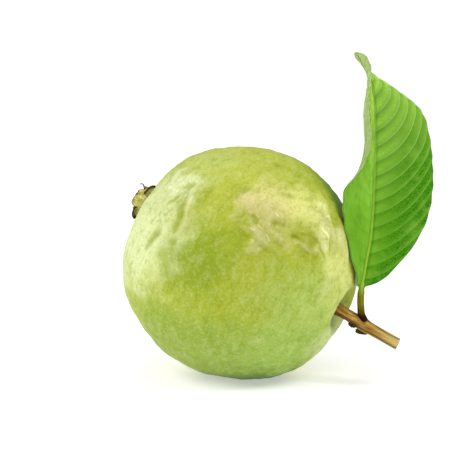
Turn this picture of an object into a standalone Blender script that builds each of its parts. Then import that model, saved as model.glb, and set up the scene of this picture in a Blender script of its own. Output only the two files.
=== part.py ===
"""A whole guava as picked: the fruit with its dried calyx, a cut piece of twig and one leaf.

The fruit stands on a small flat spot. The origin is the middle of that spot, +Z is up, and the
cut end of the twig points to +X and a little to -Y. Sizes are in metres, angles in degrees.
"""

import math

import bmesh
import bpy
from mathutils import Vector

MM = 0.001
GAP = 0.3 * MM  # left between two pieces that touch
WELD_DISTANCE = 0.01 * MM
TUBE_BEVEL_RESOLUTION = 2
SHARP_ANGLE = 50.0  # edges bent more than this stay sharp, such as the rim of the flat spot

# Fruit
FRUIT_RADIUS = 40.2 * MM  # before its swellings and hollows
FRUIT_CENTRE = Vector((0.0, 0.0, 39.3 * MM))
STEM_AXIS = Vector((0.865, -0.300, -0.405)).normalized()
CALYX_AXIS = Vector((-0.842, 0.200, 0.501)).normalized()
FRUIT_SEGMENTS = 48
FRUIT_RINGS = 40
RING_CROWDING = 0.5  # how much closer the rings lie round the stem than elsewhere
# Broad swellings and hollows of the skin: direction, height in mm, spread in degrees
SWELLINGS = (
    ((-0.97, -0.10, -0.20), 1.0, 26.0),
    ((-0.39, 0.00, 0.92), 0.3, 18.0),
    ((0.04, -0.10, 0.99), -0.8, 18.0),
    ((0.70, -0.05, 0.71), -0.4, 16.0),
    ((0.98, -0.10, 0.10), -2.0, 22.0),
    ((0.46, -0.15, -0.87), 0.7, 20.0),
    ((0.20, -0.90, 0.25), 0.7, 28.0),
    ((-0.15, 0.95, -0.10), 0.8, 30.0),
    ((-0.55, -0.70, -0.40), -0.5, 22.0),
    ((0.50, 0.75, 0.35), -0.6, 22.0),
)
CALYX_HOLLOW_DEPTH = 1.9 * MM
CALYX_HOLLOW_SPREAD = 20.0
PIT_DEPTH = 7.2 * MM
PIT_RADIUS = 12.0  # angle from the stem axis to the rim
PIT_FLOOR = 0.24  # share of the pit's radius that is flat
PIT_LOBES = ((1, 0.18, -90.0), (3, 0.07, 40.0), (5, 0.05, 10.0))  # number, height, turn

# Twig: distance from the fruit's centre along the stem axis, radius, sideways bow, all in mm
TWIG_STATIONS = (
    (34.2, 2.25, 0.0),
    (36.5, 2.10, 0.1),
    (40.0, 1.98, 0.2),
    (43.5, 2.05, 0.1),
    (46.2, 2.30, 0.0),
    (49.0, 2.15, -0.1),
    (54.0, 2.05, -0.1),
    (60.1, 2.05, 0.0),
)

# Leaf: where the midrib runs, from the fruit's centre in mm, the blade's half width in mm, the
# angles at which its left and right halves leave the midrib and end, and the whole blade's twist
LEAF_COLUMNS = (
    "along", "x", "y", "z", "half_width", "left_in", "left_out", "right_in", "right_out", "twist",
)
LEAF_STATIONS = (
    (0.00, 40.2, -11.0, -6.7, 1.6, 52, 72, 10, -10, 0),
    (0.05, 41.0, -9.2, -3.2, 7.8, 52, 78, 14, -18, 0),
    (0.12, 42.1, -7.2, 1.8, 12.4, 48, 80, 14, -20, 0),
    (0.22, 43.6, -4.6, 8.8, 16.8, 42, 76, 14, -22, 0),
    (0.34, 44.6, -2.0, 17.6, 19.8, 38, 72, 14, -22, 0),
    (0.44, 45.0, -0.8, 26.2, 20.6, 38, 74, 14, -22, 0),
    (0.52, 45.3, 0.0, 32.4, 20.2, 44, 96, 14, -22, 0),
    (0.64, 45.4, 0.2, 42.4, 19.0, 44, 120, 14, -22, 0),
    (0.76, 45.0, -0.6, 52.2, 15.8, 40, 118, 14, -22, 0),
    (0.85, 44.0, -2.0, 59.6, 7.8, 42, 112, 10, -30, 2),
    (0.90, 42.6, -2.8, 63.4, 5.2, 48, 108, 0, -60, 20),
    (0.95, 40.6, -3.6, 67.2, 4.3, 60, 104, -10, -70, 52),
    (1.00, 38.7, -4.4, 70.2, 2.6, 70, 100, -10, -70, 74),
)
BLADE_THICKNESS = 0.8 * MM
BLADE_ACROSS = 14
BLADE_ALONG = 30
# Petiole: its path from the axil to the blade, from the fruit's centre, and its radius, in mm
PETIOLE_STATIONS = (
    (40.5, -14.1, -15.6, 1.50),
    (40.6, -14.2, -14.6, 1.30),
    (40.3, -13.9, -13.1, 1.15),
    (39.9, -13.1, -10.8, 1.10),
    (39.9, -12.0, -8.4, 1.10),
)
MIDRIB_STEPS = 12
MIDRIB_RADII = (1.10, 0.45)  # at the foot of the blade and near its tip, in mm
MIDRIB_END = 0.94
MIDRIB_DEPTH = 0.55  # how far the rib's middle lies behind the blade, in its own radii

# Broken stalk of the opposite leaf and the bud beside it, both under the twig: distance from the
# fruit's centre along the stem axis, distance below the twig's middle and radius, in mm
STUB_STATIONS = (
    (49.0, 3.15, 0.55),
    (47.6, 3.65, 0.90),
    (46.0, 3.95, 1.10),
    (44.6, 3.65, 0.90),
)
BUD_PLACE = (42.9, 3.25)
BUD_RADII = Vector((1.5, 1.0, 0.8)) * MM
BUD_SEGMENTS = 12
BUD_RINGS = 8

# Dried calyx: a low ring, five sepals on it and the withered style in its middle
CALYX_RING_PROFILE = ((3.0, 1.3), (4.1, 1.5), (4.9, 1.0), (5.0, 0.3), (4.4, 0.0), (3.2, 0.0))
CALYX_RING_STEPS = 24
SEPAL_COUNT = 5
SEPAL_LENGTHS = (3.7, 3.0, 3.8, 3.6, 3.2)
SEPAL_LEANS = (-8.0, 85.0, 12.0, 8.0, 100.0)  # at the tip, outward from the calyx axis
SEPAL_HALF_ANGLE = 31.0  # of the ring, at the sepal's foot
SEPAL_TIP = 0.94  # how nearly the sides meet at the tip
SEPAL_FULLNESS = 2.6  # higher keeps the sepal broad nearer its tip
SEPAL_RADIUS = 4.0 * MM
SEPAL_FOOT = 2.1 * MM
SEPAL_THICKNESS = 0.55 * MM
SEPAL_CUTS = 5
# Withered style: height on the calyx axis, reach towards the upper side, reach to -Y, radius
STYLE_STATIONS = (
    (0.7, 0.2, 0.0, 0.40),
    (3.0, 1.0, 0.3, 0.32),
    (4.8, 2.4, 0.4, 0.30),
    (5.8, 3.2, 0.4, 0.28),
    (6.5, 2.7, 0.3, 0.24),
)

COLOURS = {
    "fruit_skin": ((0.46, 0.55, 0.13), 0.45),
    "dried_calyx": ((0.36, 0.30, 0.10), 0.85),
    "dark_dried_tissue": ((0.05, 0.03, 0.02), 0.90),
    "twig_bark": ((0.42, 0.28, 0.05), 0.65),
    "leaf_green": ((0.10, 0.31, 0.02), 0.50),
}


def clear_scene():
    for obj in list(bpy.data.objects):
        bpy.data.objects.remove(obj, do_unlink=True)


def make_material(name):
    colour, roughness = COLOURS[name]
    material = bpy.data.materials.new(name)
    material.use_nodes = True
    shader = material.node_tree.nodes["Principled BSDF"]
    shader.inputs["Base Color"].default_value = (*colour, 1.0)
    shader.inputs["Roughness"].default_value = roughness
    shader.inputs["Metallic"].default_value = 0.0
    return material


def smooth_step(share):
    share = min(max(share, 0.0), 1.0)
    return share * share * (3.0 - 2.0 * share)


def axis_frame(axis):
    """Two directions across an axis: one as near straight up as it can be, one towards -Y."""
    up = (Vector((0.0, 0.0, 1.0)) - axis * axis.z).normalized()
    front = up.cross(axis)
    return up, front if front.y < 0 else -front


def smooth_row(rows, along):
    """A row of values at `along`, on a smooth curve through rows that start with their own place."""
    places = [row[0] for row in rows]
    last = len(rows) - 2
    index = next((i for i in range(last + 1) if along <= places[i + 1]), last)
    before, start, end, after = (
        rows[max(index - 1, 0)],
        rows[index],
        rows[index + 1],
        rows[min(index + 2, last + 1)],
    )
    span = end[0] - start[0]
    share = (along - start[0]) / span
    values = []
    for a, b, c, d in zip(before, start, end, after):
        slope_in = (c - a) / (end[0] - before[0]) * span
        slope_out = (d - b) / (after[0] - start[0]) * span
        cube = 2.0 * b - 2.0 * c + slope_in + slope_out
        square = 3.0 * c - 3.0 * b - 2.0 * slope_in - slope_out
        values.append(((cube * share + square) * share + slope_in) * share + b)
    return values


def new_object(name, data, material, collection):
    obj = bpy.data.objects.new(name, data)
    obj.data.materials.append(material)
    collection.objects.link(obj)
    return obj


def mesh_object(name, bm, material, collection):
    mesh = bpy.data.meshes.new(name)
    bm.to_mesh(mesh)
    bm.free()
    mesh.shade_smooth()
    return new_object(name, mesh, material, collection)


def tube_object(name, points, radii, material, collection):
    """A tube through the points, with its own radius at each and closed ends."""
    curve = bpy.data.curves.new(name, "CURVE")
    curve.dimensions = "3D"
    curve.bevel_depth = 1.0  # so that a point's radius is the tube's radius there
    curve.bevel_resolution = TUBE_BEVEL_RESOLUTION
    curve.use_fill_caps = True
    spline = curve.splines.new("POLY")
    spline.points.add(len(points) - 1)
    for spot, point, radius in zip(spline.points, points, radii):
        spot.co = (*point, 1.0)
        spot.radius = radius
    return new_object(name, curve, material, collection)


def as_mesh(tube, collection):
    """The tube as a closed mesh, so that it can be joined to another piece."""
    bpy.context.view_layer.update()
    graph = bpy.context.evaluated_depsgraph_get()
    mesh = bpy.data.meshes.new_from_object(tube.evaluated_get(graph))
    bm = bmesh.new()
    bm.from_mesh(mesh)
    bmesh.ops.remove_doubles(bm, verts=bm.verts, dist=WELD_DISTANCE)
    bmesh.ops.recalc_face_normals(bm, faces=bm.faces)
    bm.to_mesh(mesh)
    bm.free()
    closed = new_object(tube.name + "_mesh", mesh, tube.data.materials[0], collection)
    closed.matrix_world = tube.matrix_world
    bpy.data.objects.remove(tube, do_unlink=True)
    return closed


def pit_drop(direction):
    """How far the skin sinks into the stem pit along this direction."""
    up, front = axis_frame(STEM_AXIS)
    turn = math.atan2(direction.dot(up), direction.dot(front))
    rim = PIT_RADIUS
    for count, height, offset in PIT_LOBES:
        rim += PIT_RADIUS * height * math.cos(count * turn + math.radians(offset))
    share = math.degrees(direction.angle(STEM_AXIS)) / rim
    return PIT_DEPTH * (1.0 - smooth_step((share - PIT_FLOOR) / (1.0 - PIT_FLOOR)))


def fruit_reach(direction):
    """Distance from the fruit's centre to its skin."""
    reach = FRUIT_RADIUS
    for pole, height, spread in SWELLINGS:
        angle = math.degrees(direction.angle(Vector(pole)))
        reach += height * MM * math.exp(-((angle / spread) ** 2))
    calyx_angle = math.degrees(direction.angle(CALYX_AXIS))
    reach -= CALYX_HOLLOW_DEPTH * math.exp(-((calyx_angle / CALYX_HOLLOW_SPREAD) ** 2))
    return reach - pit_drop(direction)


def make_fruit(material, collection):
    bm = bmesh.new()
    bmesh.ops.create_uvsphere(bm, u_segments=FRUIT_SEGMENTS, v_segments=FRUIT_RINGS, radius=1.0)
    to_stem = Vector((0.0, 0.0, 1.0)).rotation_difference(STEM_AXIS)
    for vert in bm.verts:
        polar = math.acos(min(max(vert.co.z, -1.0), 1.0))
        turn = math.atan2(vert.co.y, vert.co.x)
        crowded = polar - RING_CROWDING * math.sin(polar) * (1.0 + math.cos(polar)) / 2.0
        ring = math.sin(crowded)
        place = Vector((ring * math.cos(turn), ring * math.sin(turn), math.cos(crowded)))
        direction = to_stem @ place
        vert.co = FRUIT_CENTRE + direction * fruit_reach(direction)
    everything = [*bm.verts, *bm.edges, *bm.faces]
    cut = bmesh.ops.bisect_plane(
        bm, geom=everything, plane_co=(0.0, 0.0, 0.0), plane_no=(0.0, 0.0, 1.0), clear_inner=True
    )
    rim = [part for part in cut["geom_cut"] if isinstance(part, bmesh.types.BMEdge)]
    bmesh.ops.holes_fill(bm, edges=rim, sides=0)
    bmesh.ops.recalc_face_normals(bm, faces=bm.faces)
    fruit = mesh_object("fruit", bm, material, collection)
    fruit.data.set_sharp_from_angle(angle=math.radians(SHARP_ANGLE))


def beside_twig(along, rise):
    """A point at a distance along the stem axis and a rise above the twig's middle, both in mm."""
    up, _ = axis_frame(STEM_AXIS)
    return FRUIT_CENTRE + (STEM_AXIS * along + up * rise) * MM


def make_twig(material, collection):
    points = [beside_twig(along, bow) for along, _, bow in TWIG_STATIONS]
    radii = [radius * MM for _, radius, _ in TWIG_STATIONS]
    tube_object("twig", points, radii, material, collection)


def placed(stations):
    """Points in space and radii of stations given in mm from the fruit's centre."""
    points = [FRUIT_CENTRE + Vector(station[:3]) * MM for station in stations]
    return points, [station[3] * MM for station in stations]


def leaf_section(along):
    """The blade's cross-section: its place, right and front directions, and its shape values."""
    section = dict(zip(LEAF_COLUMNS, smooth_row(LEAF_STATIONS, along)))
    twist = math.radians(section["twist"])
    section["place"] = FRUIT_CENTRE + Vector((section["x"], section["y"], section["z"])) * MM
    section["right"] = Vector((math.cos(twist), math.sin(twist), 0.0))
    section["front"] = Vector((math.sin(twist), -math.cos(twist), 0.0))
    return section


def blade_point(along, across):
    """A point of the blade: along runs 0 to 1 from foot to tip, across -1 to 1 from left to right."""
    section = leaf_section(along)
    side = "left" if across < 0 else "right"
    first = math.radians(section[side + "_in"])
    last = math.radians(section[side + "_out"])
    here = first + (last - first) * abs(across)
    bend_radius = section["half_width"] * MM / (last - first)
    sideways = math.copysign(bend_radius * (math.sin(here) - math.sin(first)), across)
    forward = bend_radius * (math.cos(first) - math.cos(here))
    return section["place"] + section["right"] * sideways + section["front"] * forward


def make_blade(material, collection):
    bm = bmesh.new()
    bmesh.ops.create_grid(bm, x_segments=BLADE_ACROSS, y_segments=BLADE_ALONG, size=1.0)
    for vert in bm.verts:
        vert.co = blade_point((vert.co.y + 1.0) / 2.0, vert.co.x)
    blade = mesh_object("leaf", bm, material, collection)
    thickness = blade.modifiers.new("thickness", "SOLIDIFY")
    thickness.thickness = BLADE_THICKNESS
    thickness.offset = 0.0
    return blade


def make_leaf(material, collection, cutters):
    """Petiole, midrib and blade, grown as one piece."""
    blade = make_blade(material, collection)
    points, radii = placed(PETIOLE_STATIONS)
    first, last = MIDRIB_RADII
    for step in range(MIDRIB_STEPS + 1):
        share = step / MIDRIB_STEPS
        radius = (first + (last - first) * share) * MM
        section = leaf_section(share * MIDRIB_END)
        points.append(section["place"] - section["front"] * radius * MIDRIB_DEPTH)
        radii.append(radius)
    tube = tube_object("midrib", points, radii, material, collection)
    rib = as_mesh(tube, cutters)
    rib.hide_render = True
    rib.display_type = "WIRE"
    union = blade.modifiers.new("midrib", "BOOLEAN")
    union.operation = "UNION"
    union.object = rib


def make_stub(material, collection):
    points = [beside_twig(along, -below) for along, below, _ in STUB_STATIONS]
    radii = [radius * MM for _, _, radius in STUB_STATIONS]
    tube_object("leaf_stub", points, radii, material, collection)


def make_bud(material, collection):
    bm = bmesh.new()
    bmesh.ops.create_uvsphere(bm, u_segments=BUD_SEGMENTS, v_segments=BUD_RINGS, radius=1.0)
    turn = Vector((1.0, 0.0, 0.0)).rotation_difference(STEM_AXIS)
    along, below = BUD_PLACE
    centre = beside_twig(along, -below)
    for vert in bm.verts:
        vert.co = centre + turn @ (vert.co * BUD_RADII)
    mesh_object("axillary_bud", bm, material, collection)


def calyx_foot():
    """The point on the calyx axis where the ring's flat underside lies."""
    return FRUIT_CENTRE + CALYX_AXIS * (fruit_reach(CALYX_AXIS) + GAP)


def make_calyx_ring(material, collection):
    bm = bmesh.new()
    verts = [bm.verts.new((radius * MM, 0.0, height * MM)) for radius, height in CALYX_RING_PROFILE]
    for start, end in zip(verts, verts[1:] + verts[:1]):
        bm.edges.new((start, end))
    ring = mesh_object("calyx_ring", bm, material, collection)
    ring.location = calyx_foot()
    ring.rotation_mode = "QUATERNION"
    ring.rotation_quaternion = Vector((0.0, 0.0, 1.0)).rotation_difference(CALYX_AXIS)
    turned = ring.modifiers.new("turned", "SCREW")
    turned.steps = CALYX_RING_STEPS
    turned.render_steps = CALYX_RING_STEPS
    turned.use_merge_vertices = True
    turned.merge_threshold = WELD_DISTANCE


def sepal_point(across, rise, length, lean, heading):
    """A point of one sepal: across -1 to 1, rise 0 to 1 from its foot to its tip."""
    up, front = axis_frame(CALYX_AXIS)
    narrowing = math.sqrt(1.0 - (rise * SEPAL_TIP) ** SEPAL_FULLNESS)
    turn = heading + math.radians(SEPAL_HALF_ANGLE) * across * narrowing
    outward = front * math.cos(turn) + up * math.sin(turn)
    bend_radius = length / math.radians(lean)
    tilt = math.radians(lean) * rise
    radius = SEPAL_RADIUS + bend_radius * (1.0 - math.cos(tilt))
    height = SEPAL_FOOT + bend_radius * math.sin(tilt)
    return calyx_foot() + CALYX_AXIS * height + outward * radius


def make_sepal(number, material, collection):
    heading = 2.0 * math.pi * number / SEPAL_COUNT
    length = SEPAL_LENGTHS[number] * MM
    bm = bmesh.new()
    bmesh.ops.create_grid(bm, x_segments=SEPAL_CUTS, y_segments=SEPAL_CUTS, size=1.0)
    for vert in bm.verts:
        rise = (vert.co.y + 1.0) / 2.0
        vert.co = sepal_point(vert.co.x, rise, length, SEPAL_LEANS[number], heading)
    sepal = mesh_object(f"sepal_{number + 1}", bm, material, collection)
    thickness = sepal.modifiers.new("thickness", "SOLIDIFY")
    thickness.thickness = SEPAL_THICKNESS
    thickness.offset = 0.0


def make_style(material, collection):
    up, front = axis_frame(CALYX_AXIS)
    points = [
        calyx_foot() + (CALYX_AXIS * height + up * rise + front * reach) * MM
        for height, rise, reach, _ in STYLE_STATIONS
    ]
    radii = [radius * MM for *_, radius in STYLE_STATIONS]
    tube_object("style_remnant", points, radii, material, collection)


def main():
    clear_scene()
    parts = bpy.data.collections.new("guava")
    cutters = bpy.data.collections.new("joined_helpers")
    bpy.context.scene.collection.children.link(parts)
    bpy.context.scene.collection.children.link(cutters)
    skin, calyx, dark, bark, green = (make_material(name) for name in COLOURS)
    make_fruit(skin, parts)
    make_calyx_ring(calyx, parts)
    for number in range(SEPAL_COUNT):
        make_sepal(number, calyx, parts)
    make_style(dark, parts)
    make_twig(bark, parts)
    make_leaf(green, parts, cutters)
    make_stub(dark, parts)
    make_bud(dark, parts)


main()
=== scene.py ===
"""A whole guava with its dried calyx, a cut piece of twig and one leaf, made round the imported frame.

It is laid out as a Blender add-on and run as a script. Lengths are in metres unless a name or a
comment says millimetres, angles are in degrees, and every piece lies where the frame has it.
"""

import math

import bmesh
import bpy
import numpy as np
from bpy.props import FloatProperty, FloatVectorProperty, PointerProperty
from mathutils import Matrix, Vector, noise


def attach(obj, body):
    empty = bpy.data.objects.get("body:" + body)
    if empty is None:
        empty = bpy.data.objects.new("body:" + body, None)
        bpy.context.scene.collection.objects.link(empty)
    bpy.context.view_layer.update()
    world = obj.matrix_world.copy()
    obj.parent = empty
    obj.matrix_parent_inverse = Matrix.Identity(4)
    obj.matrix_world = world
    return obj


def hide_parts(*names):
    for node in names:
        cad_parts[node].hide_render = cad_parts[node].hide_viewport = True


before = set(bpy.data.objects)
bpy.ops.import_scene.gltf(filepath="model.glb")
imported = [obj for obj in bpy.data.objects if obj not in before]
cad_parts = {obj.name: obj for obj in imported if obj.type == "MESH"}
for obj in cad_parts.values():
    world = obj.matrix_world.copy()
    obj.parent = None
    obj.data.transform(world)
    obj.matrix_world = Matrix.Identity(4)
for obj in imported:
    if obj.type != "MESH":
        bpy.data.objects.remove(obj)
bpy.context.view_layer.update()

bl_info = {
    "name": "Whole guava",
    "version": (1, 0, 0),
    "blender": (4, 5, 0),
    "location": "View3D > Sidebar > Guava",
    "description": "Makes a whole guava with its dried calyx, twig and leaf, piece by piece",
    "category": "Object",
}

MM = 0.001

# ---------------------------------------------------------------- fruit: shape
FRUIT_RADIUS = 40.2 * MM
FRUIT_CENTRE = Vector((0.0, 0.0, 39.3 * MM))
STEM_AXIS = Vector((0.865, -0.300, -0.405)).normalized()
CALYX_AXIS = Vector((-0.842, 0.200, 0.501)).normalized()
SKIN_CELLS = 126  # along each side of the six-sided grid that is pushed out to the fruit
STEM_CROWDING = 0.5  # how much closer the grid lies round the stem
# Broad swellings and hollows, as in the frame: direction, height in mm, spread in degrees
SWELLINGS = (
    ((-0.97, -0.10, -0.20), 1.0, 26.0),
    ((-0.39, 0.00, 0.92), 0.3, 18.0),
    ((0.04, -0.10, 0.99), -0.8, 18.0),
    ((0.70, -0.05, 0.71), -0.4, 16.0),
    ((0.93, 0.35, 0.12), -1.8, 24.0),
    ((0.46, -0.15, -0.87), 0.7, 20.0),
    ((0.20, -0.90, 0.25), 0.7, 28.0),
    ((-0.15, 0.95, -0.10), 0.8, 30.0),
    ((-0.55, -0.70, -0.40), -0.5, 22.0),
    ((0.50, 0.75, 0.35), -0.6, 22.0),
)
CALYX_HOLLOW_DEPTH = 1.9
CALYX_HOLLOW_SPREAD = 20.0
PIT_DEPTH = 7.2
PIT_FLOOR = 0.24
PIT_LIP = 0.30  # height of the rolled edge on the near side, in mm
# Rim of the stem pit: turn about the stem from the near side, up being 90; angle from the axis
PIT_RIM = (
    (-240.0, 12.4), (-180.0, 12.6), (-135.0, 12.4), (-90.0, 11.4), (-45.0, 13.6), (0.0, 18.2),
    (40.0, 18.6), (75.0, 17.0), (105.0, 16.2), (140.0, 14.4), (180.0, 12.6), (240.0, 12.0),
)
# Dents and ridges on the skin: heading from -Y towards +X, rise, half length, half width and
# tilt, all in degrees, then height in mm
MARKS = (
    (-30, 31, 10.0, 1.5, 84, 0.46), (-35, 30, 9.0, 2.2, 86, -0.40), (-45, 47, 6.0, 3.2, 30, 0.16),
    (-24, 38, 10.0, 3.0, 75, -0.30), (-57, 25, 12.0, 2.6, 84, 0.26), (-49, 16, 8.0, 3.0, 60, -0.34),
    (-44, 36, 6.0, 2.0, 40, -0.34), (-38, 45, 6.0, 2.4, 20, -0.36),
    (7, 21.3, 7.0, 1.4, -50, 0.40), (9.5, 23.5, 4.5, 1.0, -42, -0.40), (14, 21, 6.5, 1.3, -38, 0.34),
    (2, 20, 5.0, 1.4, -52, -0.26), (5, 29, 3.2, 1.1, -70, -0.42), (10, 14, 4.0, 1.4, -40, -0.30),
    (17, 16, 5.2, 1.3, -25, -0.36), (19, 24, 4.2, 1.1, -14, -0.38), (18, 28, 4.0, 1.4, -6, 0.24),
    (27, 18.3, 2.6, 1.1, 0, -0.50), (25, 19, 2.6, 1.0, 30, -0.28), (32, 20, 3.2, 1.1, -5, -0.36),
    (37, 16.5, 3.6, 1.1, -52, -0.38), (41, 11, 4.0, 1.2, -70, -0.34), (31, 14, 5.5, 1.5, -28, 0.36),
    (44, 22, 9.0, 1.3, 76, 0.30), (50, 18, 10.0, 1.0, 82, 0.34), (56, 13, 10.0, 1.1, 84, 0.34),
    (47, 14, 8.0, 0.9, 80, -0.30), (53, 20, 8.0, 0.9, 80, -0.28), (60, 6, 9.0, 1.2, 86, 0.30),
    (16, 33, 7.0, 2.2, 8, 0.22), (28, 40, 6.0, 2.0, -12, -0.20), (38, 31, 6.0, 2.0, -30, 0.20),
    (0, 42, 6.0, 2.4, 40, -0.22), (-12, 18, 8.0, 3.4, 20, -0.24), (-21, 9, 7.0, 3.0, 5, 0.18),
    (40, -8, 9.0, 2.8, 65, 0.20), (20, -5, 7.0, 2.6, 30, -0.16), (48, -26, 8.0, 3.0, 50, -0.22),
    (10, -30, 9.0, 4.0, -20, 0.18), (70, -22, 8.0, 2.4, 88, 0.22), (-8, 60, 8.0, 3.2, 15, 0.12),
    (30, 60, 8.0, 3.0, -30, -0.22), (110, 20, 9.0, 3.0, 60, -0.30), (135, -5, 8.0, 2.6, -40, 0.28),
    (160, 30, 9.0, 2.4, 20, -0.32), (185, 5, 8.0, 2.6, 70, 0.26), (205, 38, 7.0, 2.4, -30, -0.28),
    (225, -15, 9.0, 3.0, 40, 0.28), (175, -35, 8.0, 3.0, -10, -0.26), (250, 10, 8.0, 2.6, 75, -0.24),
    (145, 55, 7.0, 2.6, 0, 0.24),
)
MARK_SCALE = 1.35
# Unplanned relief of the skin: size of a lump in mm and its height in mm
SKIN_LUMPS = ((15.0, 0.50), (6.5, 0.34), (2.9, 0.17), (1.4, 0.07))
# Where the skin is crumpled, as it shrank: heading, rise, spread and how much
CRUMPLED = (
    (9, 22, 15, 1.0), (33, 16, 10, 1.0), (-46, 38, 15, 0.45), (-30, 26, 8, 0.7),
    (52, 18, 12, 0.9), (150, 25, 18, 0.7),
)
CRUMPLE_SIZE = (2.4, 0.26)  # width of a crumple and its height, in mm
# Faint furrows that run round the line from stem to calyx: width and height in mm
SKIN_FURROWS = ((3.6, 0.20), (1.7, 0.12))
FURROW_LENGTH = 3.6  # times their width

# ---------------------------------------------------------------- twig: shape
# Distance from the fruit's centre along the stem axis, radius, rise of its middle, all in mm
TWIG_STATIONS = (
    (33.0, 3.10, 0.75), (34.6, 2.50, 0.70), (36.5, 2.12, 0.62), (40.0, 1.98, 0.50),
    (43.5, 2.05, 0.30), (46.2, 2.30, 0.12), (47.6, 2.34, 0.0), (49.4, 2.14, -0.16),
    (54.0, 2.05, -0.36), (60.1, 2.05, -0.62),
)
TWIG_STEPS = 200
TWIG_SIDES = 96
NODE_PLACE = 47.0  # where the leaves leave the twig, in mm
FOUR_SIDED = 0.055  # how far the shoot beyond the node is from round
# Grooves along the twig: turn from the near side, up being 90, where each starts, depth in mm
TWIG_GROOVES = ((-27.0, 41.0, 0.26), (62.0, 49.0, 0.20), (150.0, 47.0, 0.20), (-118.0, 46.0, 0.20))
GROOVE_HALF_WIDTH = 8.0
BARK_STRIA = (0.55, 8.0, 0.045)  # across, along and height of the bark's fine ribs, in mm
BARK_SCABS = (1.1, 0.16)  # size and height of the corky scabs at the twig's foot, in mm
CUT_RINGS = 14
CUT_DISH = 0.18  # how far the cut wood sinks behind its bark, in mm
# Broken stalk of the missing leaf: along the stem axis, below the twig's middle, radius, in mm
STUB_STATIONS = (
    (50.3, 1.00, 0.60), (49.5, 1.60, 0.75), (48.5, 2.05, 0.90), (47.4, 2.40, 1.00),
    (46.3, 2.60, 1.00), (45.6, 2.65, 0.88),
)
BUD_PLACE = (43.7, 1.75)  # along the stem axis and below the twig's middle, in mm
BUD_RADII = (1.45, 0.95, 0.95)
STUB_STEPS, STUB_SIDES = 46, 40
BUD_CELLS = 36

# ---------------------------------------------------------------- leaf: shape
# Share of the blade's length from its foot (below 0 on the stalk), the midrib's place from the
# fruit's centre in mm, half width in mm, the angles at which the left and right halves leave the
# midrib and end, and the twist of the whole section
LEAF_STATIONS = (
    (-0.142, 40.7, -14.4, -17.7, 1.75, 2, 3, 2, 3, 0),
    (-0.118, 40.0, -14.2, -15.8, 1.36, 2, 3, 2, 3, 0),
    (-0.105, 39.8, -14.2, -14.8, 1.25, 2, 3, 2, 3, 0),
    (-0.085, 39.7, -13.9, -13.1, 1.20, 2, 3, 2, 3, 0),
    (-0.055, 39.7, -13.1, -10.8, 1.18, 2, 3, 2, 3, 0),
    (-0.022, 39.9, -12.0, -8.4, 1.18, 4, 6, 2, 3, 0),
    (0.000, 40.2, -11.0, -6.7, 1.24, 20, 26, 6, 2, 0),
    (0.007, 40.3, -10.8, -6.2, 3.0, 44, 58, 10, -2, 0),
    (0.020, 40.5, -10.3, -5.3, 5.2, 56, 72, 12, -8, 0),
    (0.05, 41.0, -9.2, -3.2, 8.4, 58, 80, 14, -18, 0),
    (0.12, 42.1, -7.2, 1.8, 12.7, 48, 80, 14, -20, 0),
    (0.22, 43.6, -4.6, 8.8, 16.8, 42, 76, 14, -22, 0),
    (0.34, 44.6, -2.0, 17.6, 19.8, 38, 72, 14, -22, 0),
    (0.44, 45.0, -0.8, 26.2, 20.6, 38, 74, 14, -22, 0),
    (0.52, 45.3, 0.0, 32.4, 20.2, 45, 94, 14, -22, 0),
    (0.64, 45.4, 0.2, 42.4, 19.0, 48, 112, 14, -22, 0),
    (0.76, 45.0, -0.6, 52.2, 15.8, 44, 112, 14, -22, 0),
    (0.85, 44.0, -2.0, 59.6, 7.8, 42, 112, 10, -30, 2),
    (0.90, 42.6, -2.8, 63.4, 4.8, 48, 108, 0, -60, 20),
    (0.95, 40.5, -3.6, 67.2, 3.6, 60, 104, -10, -70, 52),
    (1.00, 38.1, -4.4, 71.5, 3.0, 70, 100, -10, -70, 74),
)
BLADE_STEPS = 285
STALK_STEPS = 34
LEAF_COLUMNS = 62  # from the midrib to each margin
COLUMN_CROWDING = 0.42  # how much closer the columns lie at the midrib and the margins
BLADE_THICKNESS = 0.42
MIDRIB_RADII = (0.74, 0.24)  # at the foot of the blade and at its tip, in mm
MIDRIB_SINK = 0.60  # how far the rib's middle lies behind the blade, in its own radii
# Where the side veins leave the midrib, in mm above the fruit's centre
VEIN_FEET = (
    -15.0, -8.6, -4.5, -0.4, 3.8, 8.0, 12.3, 16.7, 20.9, 25.1, 29.6, 34.5, 39.7, 45.0, 51.0,
    57.0, 61.6, 65.2, 68.2, 70.8, 73.5,
)
# How a side vein rises on its way to the margin: height, straight part, curved part
VEIN_RISE = (
    (-20.0, 0.16, 0.20), (-5.0, 0.18, 0.22), (10.0, 0.24, 0.42), (25.0, 0.32, 0.50),
    (40.0, 0.45, 0.56), (50.0, 0.58, 0.72), (60.0, 0.70, 0.90), (80.0, 0.75, 0.95),
)
PANEL_SAG = 0.32  # how far the blade hangs back between two side veins, in mm
VEIN_HEIGHT = 0.11
MARGIN_WAVE = 0.22
TIP_ROUNDING = 0.022  # share of the length over which the tip closes
BLADE_WAVE = (14.0, 0.55)  # length and height of the blade's slow waves, in mm

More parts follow.
